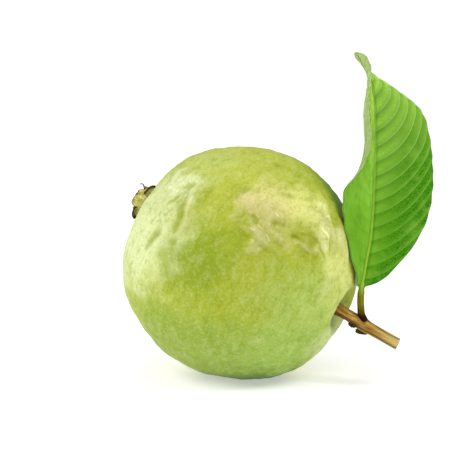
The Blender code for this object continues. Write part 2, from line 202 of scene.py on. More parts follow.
# ---------------------------------------------------------------- calyx: shape
RING_PROFILE = (
    (2.4, -0.9), (2.7, 0.6), (3.3, 1.9), (4.1, 3.0), (4.8, 3.3), (5.3, 2.8), (5.5, 1.9),
    (5.4, 0.8), (4.9, -0.4), (4.4, -1.1),
)
RING_STEPS = 120
RING_CUTS = 4  # between two points of the profile
SEPAL_TURNS = (14.0, 84.0, 126.0, 216.0, 288.0)  # from the near side, up being 90
SEPAL_LENGTHS = (3.2, 2.4, 3.2, 3.2, 3.3)
SEPAL_LEANS = (-24.0, 158.0, -12.0, 10.0, 160.0)
SEPAL_CURLS = (2.4, 0.7, 2.4, 2.4, 0.8)  # higher keeps the sepal straight nearer its tip
SEPAL_HALF_ANGLE = 50.0
SEPAL_TIP = 0.95
SEPAL_FULLNESS = 8.0
SEPAL_RADIUS = 4.75
SEPAL_FOOT = 1.9
SEPAL_CELLS = 30
SEPAL_THICKNESS = (0.62, 0.26)  # at the foot and at the edge, in mm
# Withered style: height on the calyx axis, rise across it, reach to -Y, radius, all in mm
STYLE_STATIONS = (
    (-0.6, 0.3, 0.0, 0.55), (1.0, 1.0, 0.1, 0.38), (2.8, 2.2, 0.3, 0.24), (4.2, 3.9, 0.4, 0.22),
    (5.4, 5.0, 0.4, 0.22), (6.4, 4.5, 0.3, 0.18),
)
STAMEN_COUNT = 22
STAMEN_RADIUS = 0.13
STYLE_STEPS, STYLE_SIDES = 26, 12
GOLDEN_ANGLE = 2.399963  # in radians; it spreads the stamens without a pattern


def linear(code):
    """The linear colour of an sRGB hex value."""
    values = [int(code[place : place + 2], 16) / 255.0 for place in (1, 3, 5)]
    return tuple(v / 12.92 if v <= 0.04045 else ((v + 0.055) / 1.055) ** 2.4 for v in values)


def colour_setting(name, description, code):
    """A colour in the panel, with an sRGB hex value to start from."""
    return FloatVectorProperty(
        name=name, description=description, subtype="COLOR", min=0.0, max=1.0, default=linear(code)
    )


class FruitSettings(bpy.types.PropertyGroup):
    relief: FloatProperty(
        name="Relief",
        description="Height of the dents, ridges and lumps, as a share of the usual",
        default=1.0, min=0.0, max=2.0, subtype="FACTOR",
    )
    ground: colour_setting("Ground", "Rind over most of the fruit", "#A6B22C")
    pale: colour_setting("Pale", "Rind where it ripens palest", "#E2E5A0")
    green: colour_setting("Green", "Rind that is still green", "#7E9418")
    # Corky brown of the stem pit, dark partly as painted shade deep in the pit
    cork_and_pit_shade: colour_setting("Cork", "Corky skin in the stem pit", "#5A4A1E")


class CalyxSettings(bpy.types.PropertyGroup):
    ragged: FloatProperty(
        name="Ragged edge",
        description="How deeply the dried sepals are torn",
        default=0.34 * MM, min=0.0, max=1.0 * MM, unit="LENGTH", precision=5,
    )
    tissue: colour_setting("Tissue", "Dried sepals and ring", "#D2CA74")
    edge: colour_setting("Edge", "Withered edges and tips", "#2E2512")


class TwigSettings(bpy.types.PropertyGroup):
    bark: colour_setting("Bark", "Smooth bark", "#B4862A")
    scab: colour_setting("Scab", "Corky bark at the foot and the node", "#43290F")
    wood: colour_setting("Wood", "Freshly cut wood", "#E6D69C")


class LeafSettings(bpy.types.PropertyGroup):
    thickness: FloatProperty(
        name="Blade thickness",
        description="Thickness of the blade between its veins",
        default=BLADE_THICKNESS * MM, min=0.1 * MM, max=1.0 * MM, unit="LENGTH", precision=5,
    )
    upper: colour_setting("Upper side", "Upper side of the blade", "#5CA406")
    # Young green is partly painted light: it lightens the tip and the midrib as light from the upper
    # left does
    light: colour_setting("Young green", "Upper side near the tip and along the midrib", "#B8E260")
    under: colour_setting("Underside", "Underside of the blade", "#A6BE78")
    vein: colour_setting("Veins", "Side veins towards the tip", "#B6D678")


class StageSettings(bpy.types.PropertyGroup):
    surround: FloatProperty(
        name="Surround",
        description="Strength of the even white light from all round",
        default=0.34, min=0.0, max=2.0,
    )
    ceiling: FloatProperty(
        name="Ceiling", description="Strength of the broad light from above",
        default=0.55, min=0.0, max=20.0,
    )
    key: FloatProperty(
        name="Key light", description="Power of the softbox up on the left",
        default=6.6, min=0.0, max=100.0, unit="POWER",
    )
    fill: FloatProperty(
        name="Fill light", description="Power of the softbox up on the right",
        default=5.4, min=0.0, max=100.0, unit="POWER",
    )


# ---------------------------------------------------------------- shared tools
PLAIN_COAT = (None, None, None, 1.0, 1.0, None)  # what a coat of paint says when it is silent


def smooth_step(share):
    """0 below 0, 1 above 1 and an even rise between them."""
    share = np.clip(share, 0.0, 1.0)
    return share * share * (3.0 - 2.0 * share)


def smooth_rows(rows, at):
    """Rows of values at each place in `at`, on a smooth curve through rows led by their place."""
    rows = np.asarray(rows, float)
    at = np.asarray(at, float)
    last = len(rows) - 2
    index = np.clip(np.searchsorted(rows[:, 0], at) - 1, 0, last)
    before, start, end, after = (
        rows[np.clip(index + step, 0, last + 1)] for step in (-1, 0, 1, 2)
    )
    span = end[:, :1] - start[:, :1]
    share = (at[:, None] - start[:, :1]) / span
    slope_in = (end - before) / (end[:, :1] - before[:, :1]) * span
    slope_out = (after - start) / (after[:, :1] - start[:, :1]) * span
    cube = 2.0 * start - 2.0 * end + slope_in + slope_out
    square = 3.0 * end - 3.0 * start - 2.0 * slope_in - slope_out
    return ((cube * share + square) * share + slope_in) * share + start


def bell(distance, width):
    """1 at no distance, fading to 0 on either side."""
    return np.exp(-((distance / width) ** 2))


def unit(ways):
    """The directions of the ways, at length 1."""
    return ways / np.maximum(np.linalg.norm(ways, axis=-1, keepdims=True), 1e-9)


def lumps(points, size, salt=0.0):
    """Smooth noise from -1 to 1 at each point, with lumps of about `size`."""
    places = np.asarray(points, float) / size + salt
    values = [noise.noise(place) for place in places.reshape(-1, 3).tolist()]
    return np.array(values).reshape(places.shape[:-1])


def axis_frame(axis):
    """Two directions across an axis: one as near straight up as it can be, one towards -Y."""
    up = (Vector((0.0, 0.0, 1.0)) - axis * axis.z).normalized()
    front = up.cross(axis)
    return up, front if front.y < 0 else -front


def axis_matrix(axis, reach=0.0):
    """Local Z along an axis of the fruit, X to the near side and Y up, from a place on the axis."""
    up, front = axis_frame(axis)
    turned = Matrix((front, up, axis)).transposed().to_4x4()
    return Matrix.Translation(FRUIT_CENTRE + axis * reach) @ turned


def degrees_from(directions, pole):
    """The angle between each direction and the pole."""
    facing = directions @ unit(np.array(pole, float))
    return np.degrees(np.arccos(np.clip(facing, -1.0, 1.0)))


def heading_vector(heading, rise):
    """A direction from a heading, counted from -Y towards +X, and a rise above level."""
    turn, lift = math.radians(heading), math.radians(rise)
    level = math.cos(lift)
    return Vector((level * math.sin(turn), -level * math.cos(turn), math.sin(lift)))


def mesh_object(name, points, faces, marks, materials, slots=None):
    """A smooth-shaded object from arrays, with one float attribute for each entry of marks."""
    mesh = bpy.data.meshes.new(name)
    mesh.from_pydata(np.asarray(points).tolist(), [], faces)
    return finish_mesh(mesh, marks, materials, slots)


def add_object(name, data):
    """An object of the scene, made of a mesh, a light or a camera."""
    thing = bpy.data.objects.new(name, data)
    bpy.context.scene.collection.objects.link(thing)
    return thing


def finish_mesh(mesh, marks, materials, slots=None):
    """Gives a mesh its attributes, materials and smooth shading, and makes the object."""
    for key, values in marks.items():
        layer = mesh.attributes.new(key, "FLOAT", "POINT")
        layer.data.foreach_set("value", np.asarray(values, np.float32).ravel())
    for material in materials:
        mesh.materials.append(material)
    if slots is not None:
        mesh.polygons.foreach_set("material_index", np.asarray(slots, np.int32))
    mesh.shade_smooth()
    mesh.update()
    return add_object(mesh.name, mesh)


def settle(piece, node):
    """Puts a finished piece on the frame in place of the node that it stands for."""
    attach(piece, "root")
    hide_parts(node)


def loop_faces(rows, columns):
    """Quads between closed loops of points that follow one another."""
    row, column = np.meshgrid(np.arange(rows - 1), np.arange(columns), indexing="ij")
    following = (column + 1) % columns
    quads = (
        row * columns + column,
        row * columns + following,
        (row + 1) * columns + following,
        (row + 1) * columns + column,
    )
    return np.stack(quads, axis=-1).reshape(-1, 4)


def close_ends(rings_count, sides, first, last):
    """Triangles that close a tube's two ends at the points numbered first and last."""
    tail = (rings_count - 1) * sides
    faces = [((side + 1) % sides, side, first) for side in range(sides)]
    return faces + [(tail + side, tail + (side + 1) % sides, last) for side in range(sides)]


def opaque(colour):
    """A linear colour with full alpha, from an sRGB hex value or from linear values."""
    return (*(linear(colour) if isinstance(colour, str) else colour[:3]), 1.0)


def add_node(tree, kind, inputs=None, out=0, **settings):
    """Adds a node with its settings and links, and returns one of its outputs.

    An input is a value, a colour, or a socket to link from.
    """
    node = tree.nodes.new("ShaderNode" + kind)
    for key, value in settings.items():
        setattr(node, key, value)
    for key, value in (inputs or {}).items():
        socket = node.inputs[key]
        if isinstance(value, bpy.types.NodeSocket):
            tree.links.new(value, socket)
        else:
            socket.default_value = opaque(value) if socket.type == "RGBA" else value
    return node.outputs[out] if node.outputs else None


def new_material(name, shader_values, *marks):
    """A material with its tree, its shader, the object's place and the named mesh attributes."""
    material = bpy.data.materials.new(name)
    material.use_nodes = True
    tree = material.node_tree
    shader = tree.nodes["Principled BSDF"]
    for key, value in shader_values.items():
        shader.inputs[key].default_value = value
    place = add_node(tree, "TexCoord", out="Object")
    values = [add_node(tree, "Attribute", out="Fac", attribute_name=mark) for mark in marks]
    return material, tree, shader, place, *values


def paint(tree, colour, *coats):
    """Lays coats on a colour one after another, and returns what shows.

    A coat is its colour, the value that brings it out, then low, high, strength and mask: more of
    it shows as the value goes from low to high. Without low, the value is the share that shows.
    """
    for coat in coats:
        over, value, low, high, strength, mask = (*coat, *PLAIN_COAT[len(coat) :])
        if low is not None:
            ends = {"Value": value, "From Min": low, "From Max": high, "To Max": strength}
            value = add_node(tree, "MapRange", ends, interpolation_type="SMOOTHSTEP")
        if mask is not None:
            value = add_node(tree, "Math", {0: value, 1: mask}, operation="MULTIPLY")
        colour = add_node(tree, "Mix", {0: value, 6: colour, 7: over}, 2, data_type="RGBA")
    return colour


def dress(tree, shader, colour, reliefs, roughness=None):
    """Gives the shader its colour, its roughness and its fine reliefs, laid on one another.

    Each relief is a height, a strength and a depth in mm.
    """
    tree.links.new(colour, shader.inputs["Base Color"])
    if roughness is not None:
        tree.links.new(roughness, shader.inputs["Roughness"])
    below = {}
    for height, strength, depth in reliefs:
        bump = {"Height": height, "Strength": strength, "Distance": depth * MM}
        below = {"Normal": add_node(tree, "Bump", {**bump, **below})}
    tree.links.new(below["Normal"], shader.inputs["Normal"])


# ---------------------------------------------------------------- fruit
# Colour patches of the rind: heading, rise, spread, colour and strength. Some are the rind's own tones
# and some are painted light: the pale patches on the left limb, up on the left and on the crests at the
# right are painted highlight of the softboxes, the cream patches up to the right are partly painted
# sheen, and the dark green patches underneath, low on the left and by the leaf are painted shade and
# the leaf's painted shadow.
SKIN_PATCHES_AND_PAINTED_LIGHT = (
    (-2, 62, 30, "#B6BE54", 0.55),
    (-5, 24, 26, "#A9B03C", 0.65),
    (-21, 10, 17, "#8A9E24", 0.80),
    (-64, 20, 26, "#D6E0A2", 0.85),
    (-46, 44, 13, "#D6DFA4", 0.60),
    (-30, 27, 7, "#C6CE82", 0.50),
    (-50, 62, 16, "#B4C066", 0.60),
    (12, 32, 11, "#DCCB94", 0.70),
    (24, 37, 11, "#DAD284", 0.55),
    (40, 32, 12, "#E0E084", 0.60),
    (7, 20, 5, "#DCDCAC", 0.30),
    (20, 24, 8, "#D8CC84", 0.45),
    (34, 15, 6, "#98A01C", 0.50),
    (52, 10, 12, "#D6DE7E", 0.70),
    (47, 21, 8, "#F2F2AA", 0.80),
    (-44, 47, 8, "#E6EEC0", 0.60),
    (54, -4, 11, "#D0D87C", 0.65),
    (46, -12, 9, "#DAD672", 0.80),
    (80, 30, 12, "#6E9A10", 0.90),
    (88, 8, 8, "#749A24", 0.80),
    (12, -10, 17, "#A2B03C", 0.65),
    (32, -20, 22, "#A6BE58", 0.70),
    (6, -52, 26, "#92B048", 0.80),
    (40, -46, 20, "#9AB852", 0.65),
    (0, -76, 22, "#4A7014", 0.90),
    (68, -34, 16, "#C0CE86", 0.75),
    (-40, -40, 28, "#8CA440", 0.70),
    (120, 10, 30, "#B4BF54", 0.55),
    (165, 35, 26, "#A3B33C", 0.55),
    (180, -15, 28, "#B2C058", 0.60),
    (230, 15, 26, "#8BA42E", 0.60),
    (255, -30, 24, "#9CB04A", 0.60),
)


def pit_place(directions):
    """Share of the way from the stem to the pit's rim, and the turn about the stem."""
    up, front = axis_frame(STEM_AXIS)
    turn = np.degrees(np.arctan2(directions @ np.array(up), directions @ np.array(front)))
    rim = smooth_rows(PIT_RIM, turn)[:, 1]
    return degrees_from(directions, STEM_AXIS) / rim, turn


def broad_reach(directions):
    """Distance from the fruit's centre to its skin, before the small relief."""
    reach = np.full(len(directions), FRUIT_RADIUS)
    for pole, height, spread in SWELLINGS:
        reach += height * MM * bell(degrees_from(directions, pole), spread)
    from_calyx = degrees_from(directions, CALYX_AXIS)
    reach -= CALYX_HOLLOW_DEPTH * MM * bell(from_calyx, CALYX_HOLLOW_SPREAD)
    share, turn = pit_place(directions)
    reach -= PIT_DEPTH * MM * (1.0 - smooth_step((share - PIT_FLOOR) / (1.0 - PIT_FLOOR)))
    near = smooth_step((np.cos(np.radians(turn)) + 0.2) / 0.8)
    return reach + PIT_LIP * MM * near * bell(share - 1.10, 0.20)


def oval_mark(directions, heading, rise, length, width, tilt):
    """1 in the middle of an oval on the skin, fading to 0 outside it; sizes are in degrees."""
    pole = heading_vector(heading, rise)
    right = Vector((0.0, 0.0, 1.0)).cross(pole).normalized()
    up = pole.cross(right)
    x, y = (np.degrees(np.arcsin(np.clip(directions @ np.array(way), -1, 1))) for way in (right, up))
    turn = math.radians(tilt)
    lengthwise = (x * math.cos(turn) + y * math.sin(turn)) / length
    crosswise = (y * math.cos(turn) - x * math.sin(turn)) / width
    return np.exp(-(lengthwise**2) - crosswise**2) * (directions @ np.array(pole) > 0)


def crumpled_share(directions):
    """1 where the skin is most crumpled, 0 where it is taut."""
    share = np.zeros(len(directions))
    for heading, rise, spread, most in CRUMPLED:
        away = degrees_from(directions, heading_vector(heading, rise))
        share = np.maximum(share, most * np.exp(-((away / spread) ** 4)))
    return share


def skin_relief(directions):
    """Height of the dents, ridges, crumples, furrows and lumps, in mm.

    Returned first is the share of it that shows in the colour of the rind, as painted shade in its
    dents and painted highlight on its crests.
    """
    places = directions * (FRUIT_RADIUS / MM)
    warp = np.stack([lumps(places, 7.0, salt) for salt in (3.1, 17.7, 31.3)], axis=1)
    bent = unit(directions + warp * 0.035)
    shown = np.zeros(len(directions))
    for heading, rise, length, width, tilt, rise_mm in MARKS:
        shown += MARK_SCALE * rise_mm * oval_mark(bent, heading, rise, length, width, tilt)
    size, crumple_height = CRUMPLE_SIZE
    ridged = 0.66 - 2.2 * np.abs(lumps(bent * (FRUIT_RADIUS / MM), size, 8.3))
    shown += crumple_height * ridged * crumpled_share(directions)
    small = np.zeros(len(directions))
    for size, lump_height in SKIN_LUMPS[1:]:
        small += lump_height * lumps(places, size, size)
    axis = np.array(STEM_AXIS)
    along = (bent @ axis)[:, None] * axis
    furrows = ((bent - along) / FURROW_LENGTH + along) * (FRUIT_RADIUS / MM)
    for size, furrow_height in SKIN_FURROWS:
        small += furrow_height * lumps(furrows, size, 5.5)
    size, lump_height = SKIN_LUMPS[0]
    return shown + 0.35 * small, shown + small + lump_height * lumps(places, size, size)


def ball_grid(cells):
    """A mesh of near-even quads on a ball of radius 1."""
    bm = bmesh.new()
    bmesh.ops.create_cube(bm, size=2.0)
    bmesh.ops.subdivide_edges(bm, edges=bm.edges[:], cuts=cells - 1, use_grid_fill=True)
    mesh = bpy.data.meshes.new("guava_fruit")
    bm.to_mesh(mesh)
    bm.free()
    places = np.empty(len(mesh.vertices) * 3, np.float32)
    mesh.vertices.foreach_get("co", places)
    spread = np.tan(places.reshape(-1, 3).astype(float) * (math.pi / 4.0))
    return mesh, unit(spread)


def crowd_to(directions, axis, crowding):
    """The directions moved towards the axis, most of all those near it."""
    axis = np.array(axis)
    facing = np.clip(directions @ axis, -1.0, 1.0)
    polar = np.arccos(facing)
    across = unit(directions - facing[:, None] * axis)
    closer = polar - crowding * np.sin(polar) * (1.0 + facing) / 2.0
    return np.cos(closer)[:, None] * axis + np.sin(closer)[:, None] * across


def skin_material(settings):
    """Live guava rind: a thin waxy cuticle over grown flesh, unpolished.

    It gives the eye a soft broad sheen that breaks up over shallow lumps, yellow-green patches that run
    into each other, among them pale patches of painted highlight and dark green ones of painted shade
    and shadow, olive dents, pale crests and creases as painted shade and highlight, fine mottling, pale
    lenticels, a few rubbed brown specks and corky brown in the stem pit, partly painted shade there.
    """
    material, tree, shader, place, relief, pit, calyx, crumpled = new_material(
        "living_guava_rind",
        {
            "Roughness": 0.38, "IOR": 1.40, "Specular IOR Level": 0.18,
            "Specular Tint": (0.80, 0.90, 0.45, 1.0),
            "Subsurface Weight": 0.10, "Subsurface Radius": (1.0, 1.0, 0.35),
            "Subsurface Scale": 1.2 * MM, "Coat Weight": 0.03, "Coat Roughness": 0.45,
        },
        "relief", "pit", "calyx", "crumpled",
    )
    # Patches keep their place on the fruit; noise of 9 mm moves their edges by up to 11 mm
    drift = add_node(
        tree, "TexNoise", {"Vector": place, "Scale": 1 / (9 * MM), "Detail": 3.5}, "Color"
    )
    drift = add_node(tree, "VectorMath", {0: drift, 1: (0.5, 0.5, 0.5)}, operation="SUBTRACT")
    drift = add_node(tree, "VectorMath", {0: drift, 3: 22 * MM}, operation="SCALE")
    bent = add_node(tree, "VectorMath", {0: place, 1: drift})
    bent = add_node(tree, "VectorMath", {0: bent}, operation="NORMALIZE")
    broad = add_node(tree, "TexNoise", {"Vector": place, "Scale": 1 / (20 * MM), "Detail": 3.0})
    colour = paint(tree, settings.ground, ("#B8BE48", broad, 0.36, 0.66, 0.55))
    # Painted highlight and painted shade are laid here among the rind's own tones, from the patch table
    for heading, rise, spread, code, strength in SKIN_PATCHES_AND_PAINTED_LIGHT:
        pole = heading_vector(heading, rise)
        facing = add_node(
            tree, "VectorMath", {0: bent, 1: pole}, "Value", operation="DOT_PRODUCT"
        )
        edge = math.cos(math.radians(spread * 1.5))
        colour = paint(tree, colour, (code, facing, edge, 1.0, strength * 1.25))
    outside = add_node(
        tree, "MapRange", {"Value": pit, "From Min": 1.0, "From Max": 1.2},
        interpolation_type="SMOOTHSTEP",
    )
    # Painted shade and highlight of the relief: olive in the dents and pale cream on the crests,
    # outside the stem pit
    colour = paint(
        tree, colour,
        ("#8E9A20", relief, -0.06, -0.44, 0.74),
        ("#EAE4B4", relief, 0.03, 0.66, 0.60, outside),
    )
    # Mottling 2 mm wide, drawn out to 3.6 mm round the line from stem to calyx, and finer grain
    lay = STEM_AXIS.to_track_quat("Z", "Y").to_euler()
    combed = add_node(
        tree, "Mapping", {"Vector": place, "Rotation": lay, "Scale": (1.8, 1.8, 1.0)},
        vector_type="TEXTURE",
    )
    mottle = add_node(
        tree, "TexNoise",
        {
            "Vector": combed, "Scale": 1 / (2.0 * MM), "Detail": 3.0, "Roughness": 0.55,
            "Distortion": 0.3,
        },
    )
    colour = paint(
        tree, colour,
        (settings.pale, mottle, 0.46, 0.80, 0.20),
        (settings.green, mottle, 0.50, 0.26, 0.44),
    )
    grain = add_node(tree, "TexNoise", {"Vector": place, "Scale": 1 / (0.75 * MM), "Detail": 2.0})
    colour = paint(
        tree, colour,
        (settings.green, grain, 0.50, 0.30, 0.30),
        (settings.pale, grain, 0.50, 0.72, 0.15),
    )
    # Fine creases 2 mm apart where the skin is crumpled, pale on their crests as painted highlight and
    # olive between them as painted shade
    crease = add_node(
        tree, "TexNoise",
        {
            "Vector": place, "Scale": 1 / (2.2 * MM), "Detail": 3.0, "Roughness": 0.55,
            "Distortion": 0.6,
        },
        noise_type="RIDGED_MULTIFRACTAL",
    )
    colour = paint(
        tree, colour,
        ("#EEEBB0", crease, 0.45, 1.20, 0.72, crumpled),
        ("#909A1E", crease, 0.42, 0.10, 0.45, crumpled),
    )
    # Lenticels: pale dots about 0.5 mm wide, in cells of 3.4 mm; rubbed specks in cells of 6 mm
    for size, radius, keep, code, strength in (
        (3.4, 0.065, 0.80, "#D9DF9E", 0.30), (6.0, 0.075, 0.62, "#7E8030", 0.45),
    ):
        away = add_node(tree, "TexVoronoi", {"Vector": place, "Scale": 1 / (size * MM)})
        cell = away.node.outputs["Color"]
        chosen = add_node(tree, "Math", {0: cell, 1: keep}, operation="GREATER_THAN")
        colour = paint(tree, colour, (code, away, radius * 1.6, radius * 0.7, strength, chosen))
    # Stem pit: dull green inside its rim, then a ragged edge of corky brown round the stalk, its
    # darkness partly painted shade deep in the pit
    colour = paint(tree, colour, ("#8FA456", pit, 0.95, 0.70, 0.22))
    ragged = add_node(tree, "TexNoise", {"Vector": place, "Scale": 1 / (1.3 * MM), "Detail": 4.0})
    ragged = add_node(tree, "Math", {0: ragged, 1: 0.35, 2: pit}, operation="MULTIPLY_ADD")
    colour = paint(
        tree, colour,
        (settings.cork_and_pit_shade, ragged, 0.72, 0.52, 0.9),
        ("#8E8A44", calyx, 0.2, 0.9, 0.75),
    )
    gloss = add_node(
        tree, "MapRange",
        {"Value": mottle, "From Min": 0.3, "From Max": 0.7, "To Min": 0.58, "To Max": 0.48},
    )
    pores = add_node(tree, "TexVoronoi", {"Vector": place, "Scale": 1 / (1.1 * MM)})
    creased = add_node(tree, "Math", {0: crumpled, 1: 0.7}, operation="MULTIPLY")
    reliefs = ((pores, 0.30, 0.10), (mottle, 0.70, 0.22), (crease, creased, 0.25))
    dress(tree, shader, colour, reliefs, gloss)
    return material


class GUAVA_OT_make_fruit(bpy.types.Operator):
    """Makes the fruit: its lumpy skin, the stem pit, the calyx hollow and the flat it rests on"""

    bl_idname = "guava.make_fruit"
    bl_label = "Make fruit"

    def execute(self, context):
        settings = context.scene.guava_fruit
        mesh, grid = ball_grid(SKIN_CELLS)
        directions = crowd_to(grid, STEM_AXIS, STEM_CROWDING)
        fine, relief = skin_relief(directions)
        pit, _ = pit_place(directions)
        calm = smooth_step(degrees_from(directions, CALYX_AXIS) / 12.0 - 0.4)
        relief *= calm * (0.45 + 0.55 * smooth_step(pit - 0.6))
        reach = broad_reach(directions) + relief * settings.relief * MM
        places = directions * reach[:, None]
        places[:, 2] = np.maximum(places[:, 2], -FRUIT_CENTRE.z)
        mesh.vertices.foreach_set("co", places.astype(np.float32).ravel())
        marks = {
            "relief": fine * calm,
            "pit": np.minimum(pit, 4.0),
            "calyx": 1.0 - calm,
            "crumpled": crumpled_share(directions),
        }
        fruit = finish_mesh(mesh, marks, [skin_material(settings)])
        fruit.location = FRUIT_CENTRE
        settle(fruit, "fruit")
        return {"FINISHED"}


# ---------------------------------------------------------------- twig
def bark_material(settings):
    """Young guava bark: thin, smooth and dry, dried golden, with corky scabs where it aged.

    It gives the eye fine lengthwise streaks of gold and olive, a dull sheen, dark green lines in its
    grooves and dark brown along its underside and its top edge, all painted shade, a reddish stain by
    the bud and a rough dark brown foot and node.
    """
    material, tree, shader, place, along, lower, ridge, groove, scab = new_material(
        "young_smooth_bark", {"Roughness": 0.55, "IOR": 1.45, "Specular IOR Level": 0.35},
        "along", "lower", "ridge", "groove", "scab",
    )
    stretched = add_node(tree, "Mapping", {"Vector": place, "Scale": (1.0, 1.0, 0.07)})
    streak = add_node(
        tree, "TexNoise",
        {"Vector": stretched, "Scale": 1 / (0.6 * MM), "Detail": 4.0, "Roughness": 0.6},
    )
    # Painted shade: dark brown along the underside and in a thin line on the top edge, dark olive in
    # the grooves; the reddish brown near the bud on the underside is a real stain
    colour = paint(
        tree, settings.bark,
        ("#F0CE72", streak, 0.50, 0.66, 0.85),
        ("#664810", streak, 0.49, 0.36, 0.85),
        ("#E6D184", along, 50.0, 60.5, 0.60),
        ("#5C3A0C", lower),
        ("#7A3E22", along, 47.5, 44.0, 0.8, lower),
        ("#B4B23C", ridge),
        ("#453C08", groove),
    )
    patch = add_node(
        tree, "TexNoise", {"Vector": place, "Scale": 1 / (1.6 * MM), "Detail": 5.0, "Roughness": 0.7}
    )
    worn = add_node(tree, "Math", {0: patch, 1: 1.1, 2: scab}, operation="MULTIPLY_ADD")
    colour = paint(tree, colour, (settings.scab, worn, 0.80, 1.35, 0.92))
    roughness = add_node(
        tree, "MapRange",
        {"Value": worn, "From Min": 0.5, "From Max": 1.4, "To Min": 0.50, "To Max": 0.85},
        interpolation_type="SMOOTHSTEP",
    )
    dress(tree, shader, colour, ((streak, 0.6, 0.12), (worn, 0.5, 0.20)), roughness)
    return material


def cut_wood_material(settings):
    """Sappy young wood cut across with shears: pale, damp and fine-pored round a soft pith.

    It gives the eye a cream disc with a thin green-brown ring under the bark and a darker middle.
    """
    material, tree, shader, place = new_material(
        "cut_green_wood", {"Roughness": 0.6, "IOR": 1.45, "Specular IOR Level": 0.3}
    )
    flat = add_node(tree, "Mapping", {"Vector": place, "Scale": (1.0, 1.0, 0.0)})
    radius = add_node(tree, "VectorMath", {0: flat}, "Value", operation="LENGTH")
    pores = add_node(tree, "TexNoise", {"Vector": place, "Scale": 1 / (0.35 * MM), "Detail": 3.0})
    colour = paint(
        tree, settings.wood,
        ("#C3A55E", pores, 0.45, 0.70, 0.6),
        ("#A8803C", radius, 0.55 * MM, 0.25 * MM, 0.75),
        ("#6B571C", radius, 1.62 * MM, 1.95 * MM, 0.9),
    )
    dress(tree, shader, colour, ((pores, 0.5, 0.10),))
    return material


def turn_gap(turn, middle):
    """Degrees between two turns, from -180 to 180."""
    return (turn - middle + 180.0) % 360.0 - 180.0


def make_twig_piece(settings):
    along = np.linspace(TWIG_STATIONS[0][0], TWIG_STATIONS[-1][0], TWIG_STEPS)
    turn = np.arange(TWIG_SIDES) * 360.0 / TWIG_SIDES
    stations = smooth_rows(TWIG_STATIONS, along)
    along, turn = np.meshgrid(along, turn, indexing="ij")
    radius = np.repeat(stations[:, 1:2], TWIG_SIDES, axis=1)
    rise = np.repeat(stations[:, 2:3], TWIG_SIDES, axis=1)
    squared = smooth_step((along - NODE_PLACE + 4.0) / 8.0)
    radius = radius * (1.0 - FOUR_SIDED * squared * np.cos(np.radians(4.0 * (turn + 72.0))))
    groove = np.zeros_like(radius)
    ridge = np.zeros_like(radius)
    for middle, start, depth in TWIG_GROOVES:
        here = smooth_step((along - start) / 4.0)
        wander = middle + 3.0 * np.sin(along * 0.55 + middle)
        line = bell(turn_gap(turn, wander), GROOVE_HALF_WIDTH) * here
        radius -= depth * line
        groove = np.maximum(groove, line)
        beside = bell(turn_gap(turn, wander - 24.0), 15.0) * here
        radius += 0.10 * beside
        ridge = np.maximum(ridge, beside * (1.0 - line) * (0.8 if middle == -27.0 else 0.15))
    angle = np.radians(turn)
    skin = np.stack([radius * np.cos(angle), radius * np.sin(angle), along], axis=-1)
    across, lengthwise, height = BARK_STRIA
    stria = lumps(skin / np.array((across, across, lengthwise)), 1.0, 2.2) * height
    foot = 1.0 - smooth_step((along - 37.5) / 5.0)
    node = 0.6 * bell(along - NODE_PLACE, 1.6) * smooth_step(np.sin(angle) * 0.9 + 0.3)
    bud = 1.2 * bell(along - 44.0, 2.4) * bell(turn_gap(turn, -62.0), 38.0)
    scab = np.maximum(np.maximum(0.50 * foot, node), bud)
    size, scab_height = BARK_SCABS
    radius = radius + stria + lumps(skin, size, 9.1) * scab_height * (0.12 + foot)
    skin = np.stack([radius * np.cos(angle), radius * np.sin(angle) + rise, along], axis=-1)
    skin = skin.reshape(-1, 3)
    # The loops go on over the cut end, closer and closer to its middle
    last_ring = skin[-TWIG_SIDES:]
    middle = last_ring.mean(axis=0)
    loops = [skin]
    for ring in range(1, CUT_RINGS):
        share = 1.0 - ring / CUT_RINGS
        inner = middle + (last_ring - middle) * share
        dish = smooth_step((1.0 - share) / 0.16) * CUT_DISH
        inner[:, 2] += 0.06 * math.sin(ring * 2.4) * (ring > 1) - dish
        loops.append(inner)
    points = np.concatenate([*loops, [skin[:TWIG_SIDES].mean(axis=0), middle - (0, 0, CUT_DISH)]])
    count = TWIG_STEPS + CUT_RINGS - 1
    faces = loop_faces(count, TWIG_SIDES).tolist()
    faces += close_ends(count, TWIG_SIDES, len(points) - 2, len(points) - 1)
    slots = np.arange(len(faces)) >= TWIG_STEPS * TWIG_SIDES
    slots[-2 * TWIG_SIDES : -TWIG_SIDES] = False  # the foot, in the stem pit, has bark
    marks = {}
    # Painted shade mask: darker along the underside, less beyond the node, and a painted shadow line
    # along the top edge
    lower = 0.75 * smooth_step(0.35 - np.sin(angle)) * (1.0 - 0.6 * smooth_step((along - 46.0) / 8.0))
    lower = np.maximum(lower, 0.55 * bell(turn_gap(turn, 98.0), 20.0))
    bark = {"along": along, "groove": groove, "ridge": ridge, "scab": scab, "lower": lower}
    for key, values in bark.items():
        spare = np.full(len(points) - len(skin), 60.0 if key == "along" else 0.0)
        marks[key] = np.concatenate([np.asarray(values).ravel(), spare])
    materials = [bark_material(settings), cut_wood_material(settings)]
    twig = mesh_object("guava_twig", points * MM, faces, marks, materials, slots)
    twig.matrix_world = axis_matrix(STEM_AXIS)
    settle(twig, "twig")


def tube_rings(path, radii, sides):
    """Closed loops of points round a path that bends gently, with the ways across it."""
    path = np.asarray(path, float)
    ways = unit(np.gradient(path, axis=0))
    across = unit(np.cross(ways, (0.31, 0.83, 0.46)))
    other = np.cross(ways, across)
    angle = np.arange(sides) * 2.0 * math.pi / sides
    wheel = across[:, None] * np.cos(angle)[:, None] + other[:, None] * np.sin(angle)[:, None]
    return path[:, None] + wheel * np.asarray(radii)[:, None, None], wheel


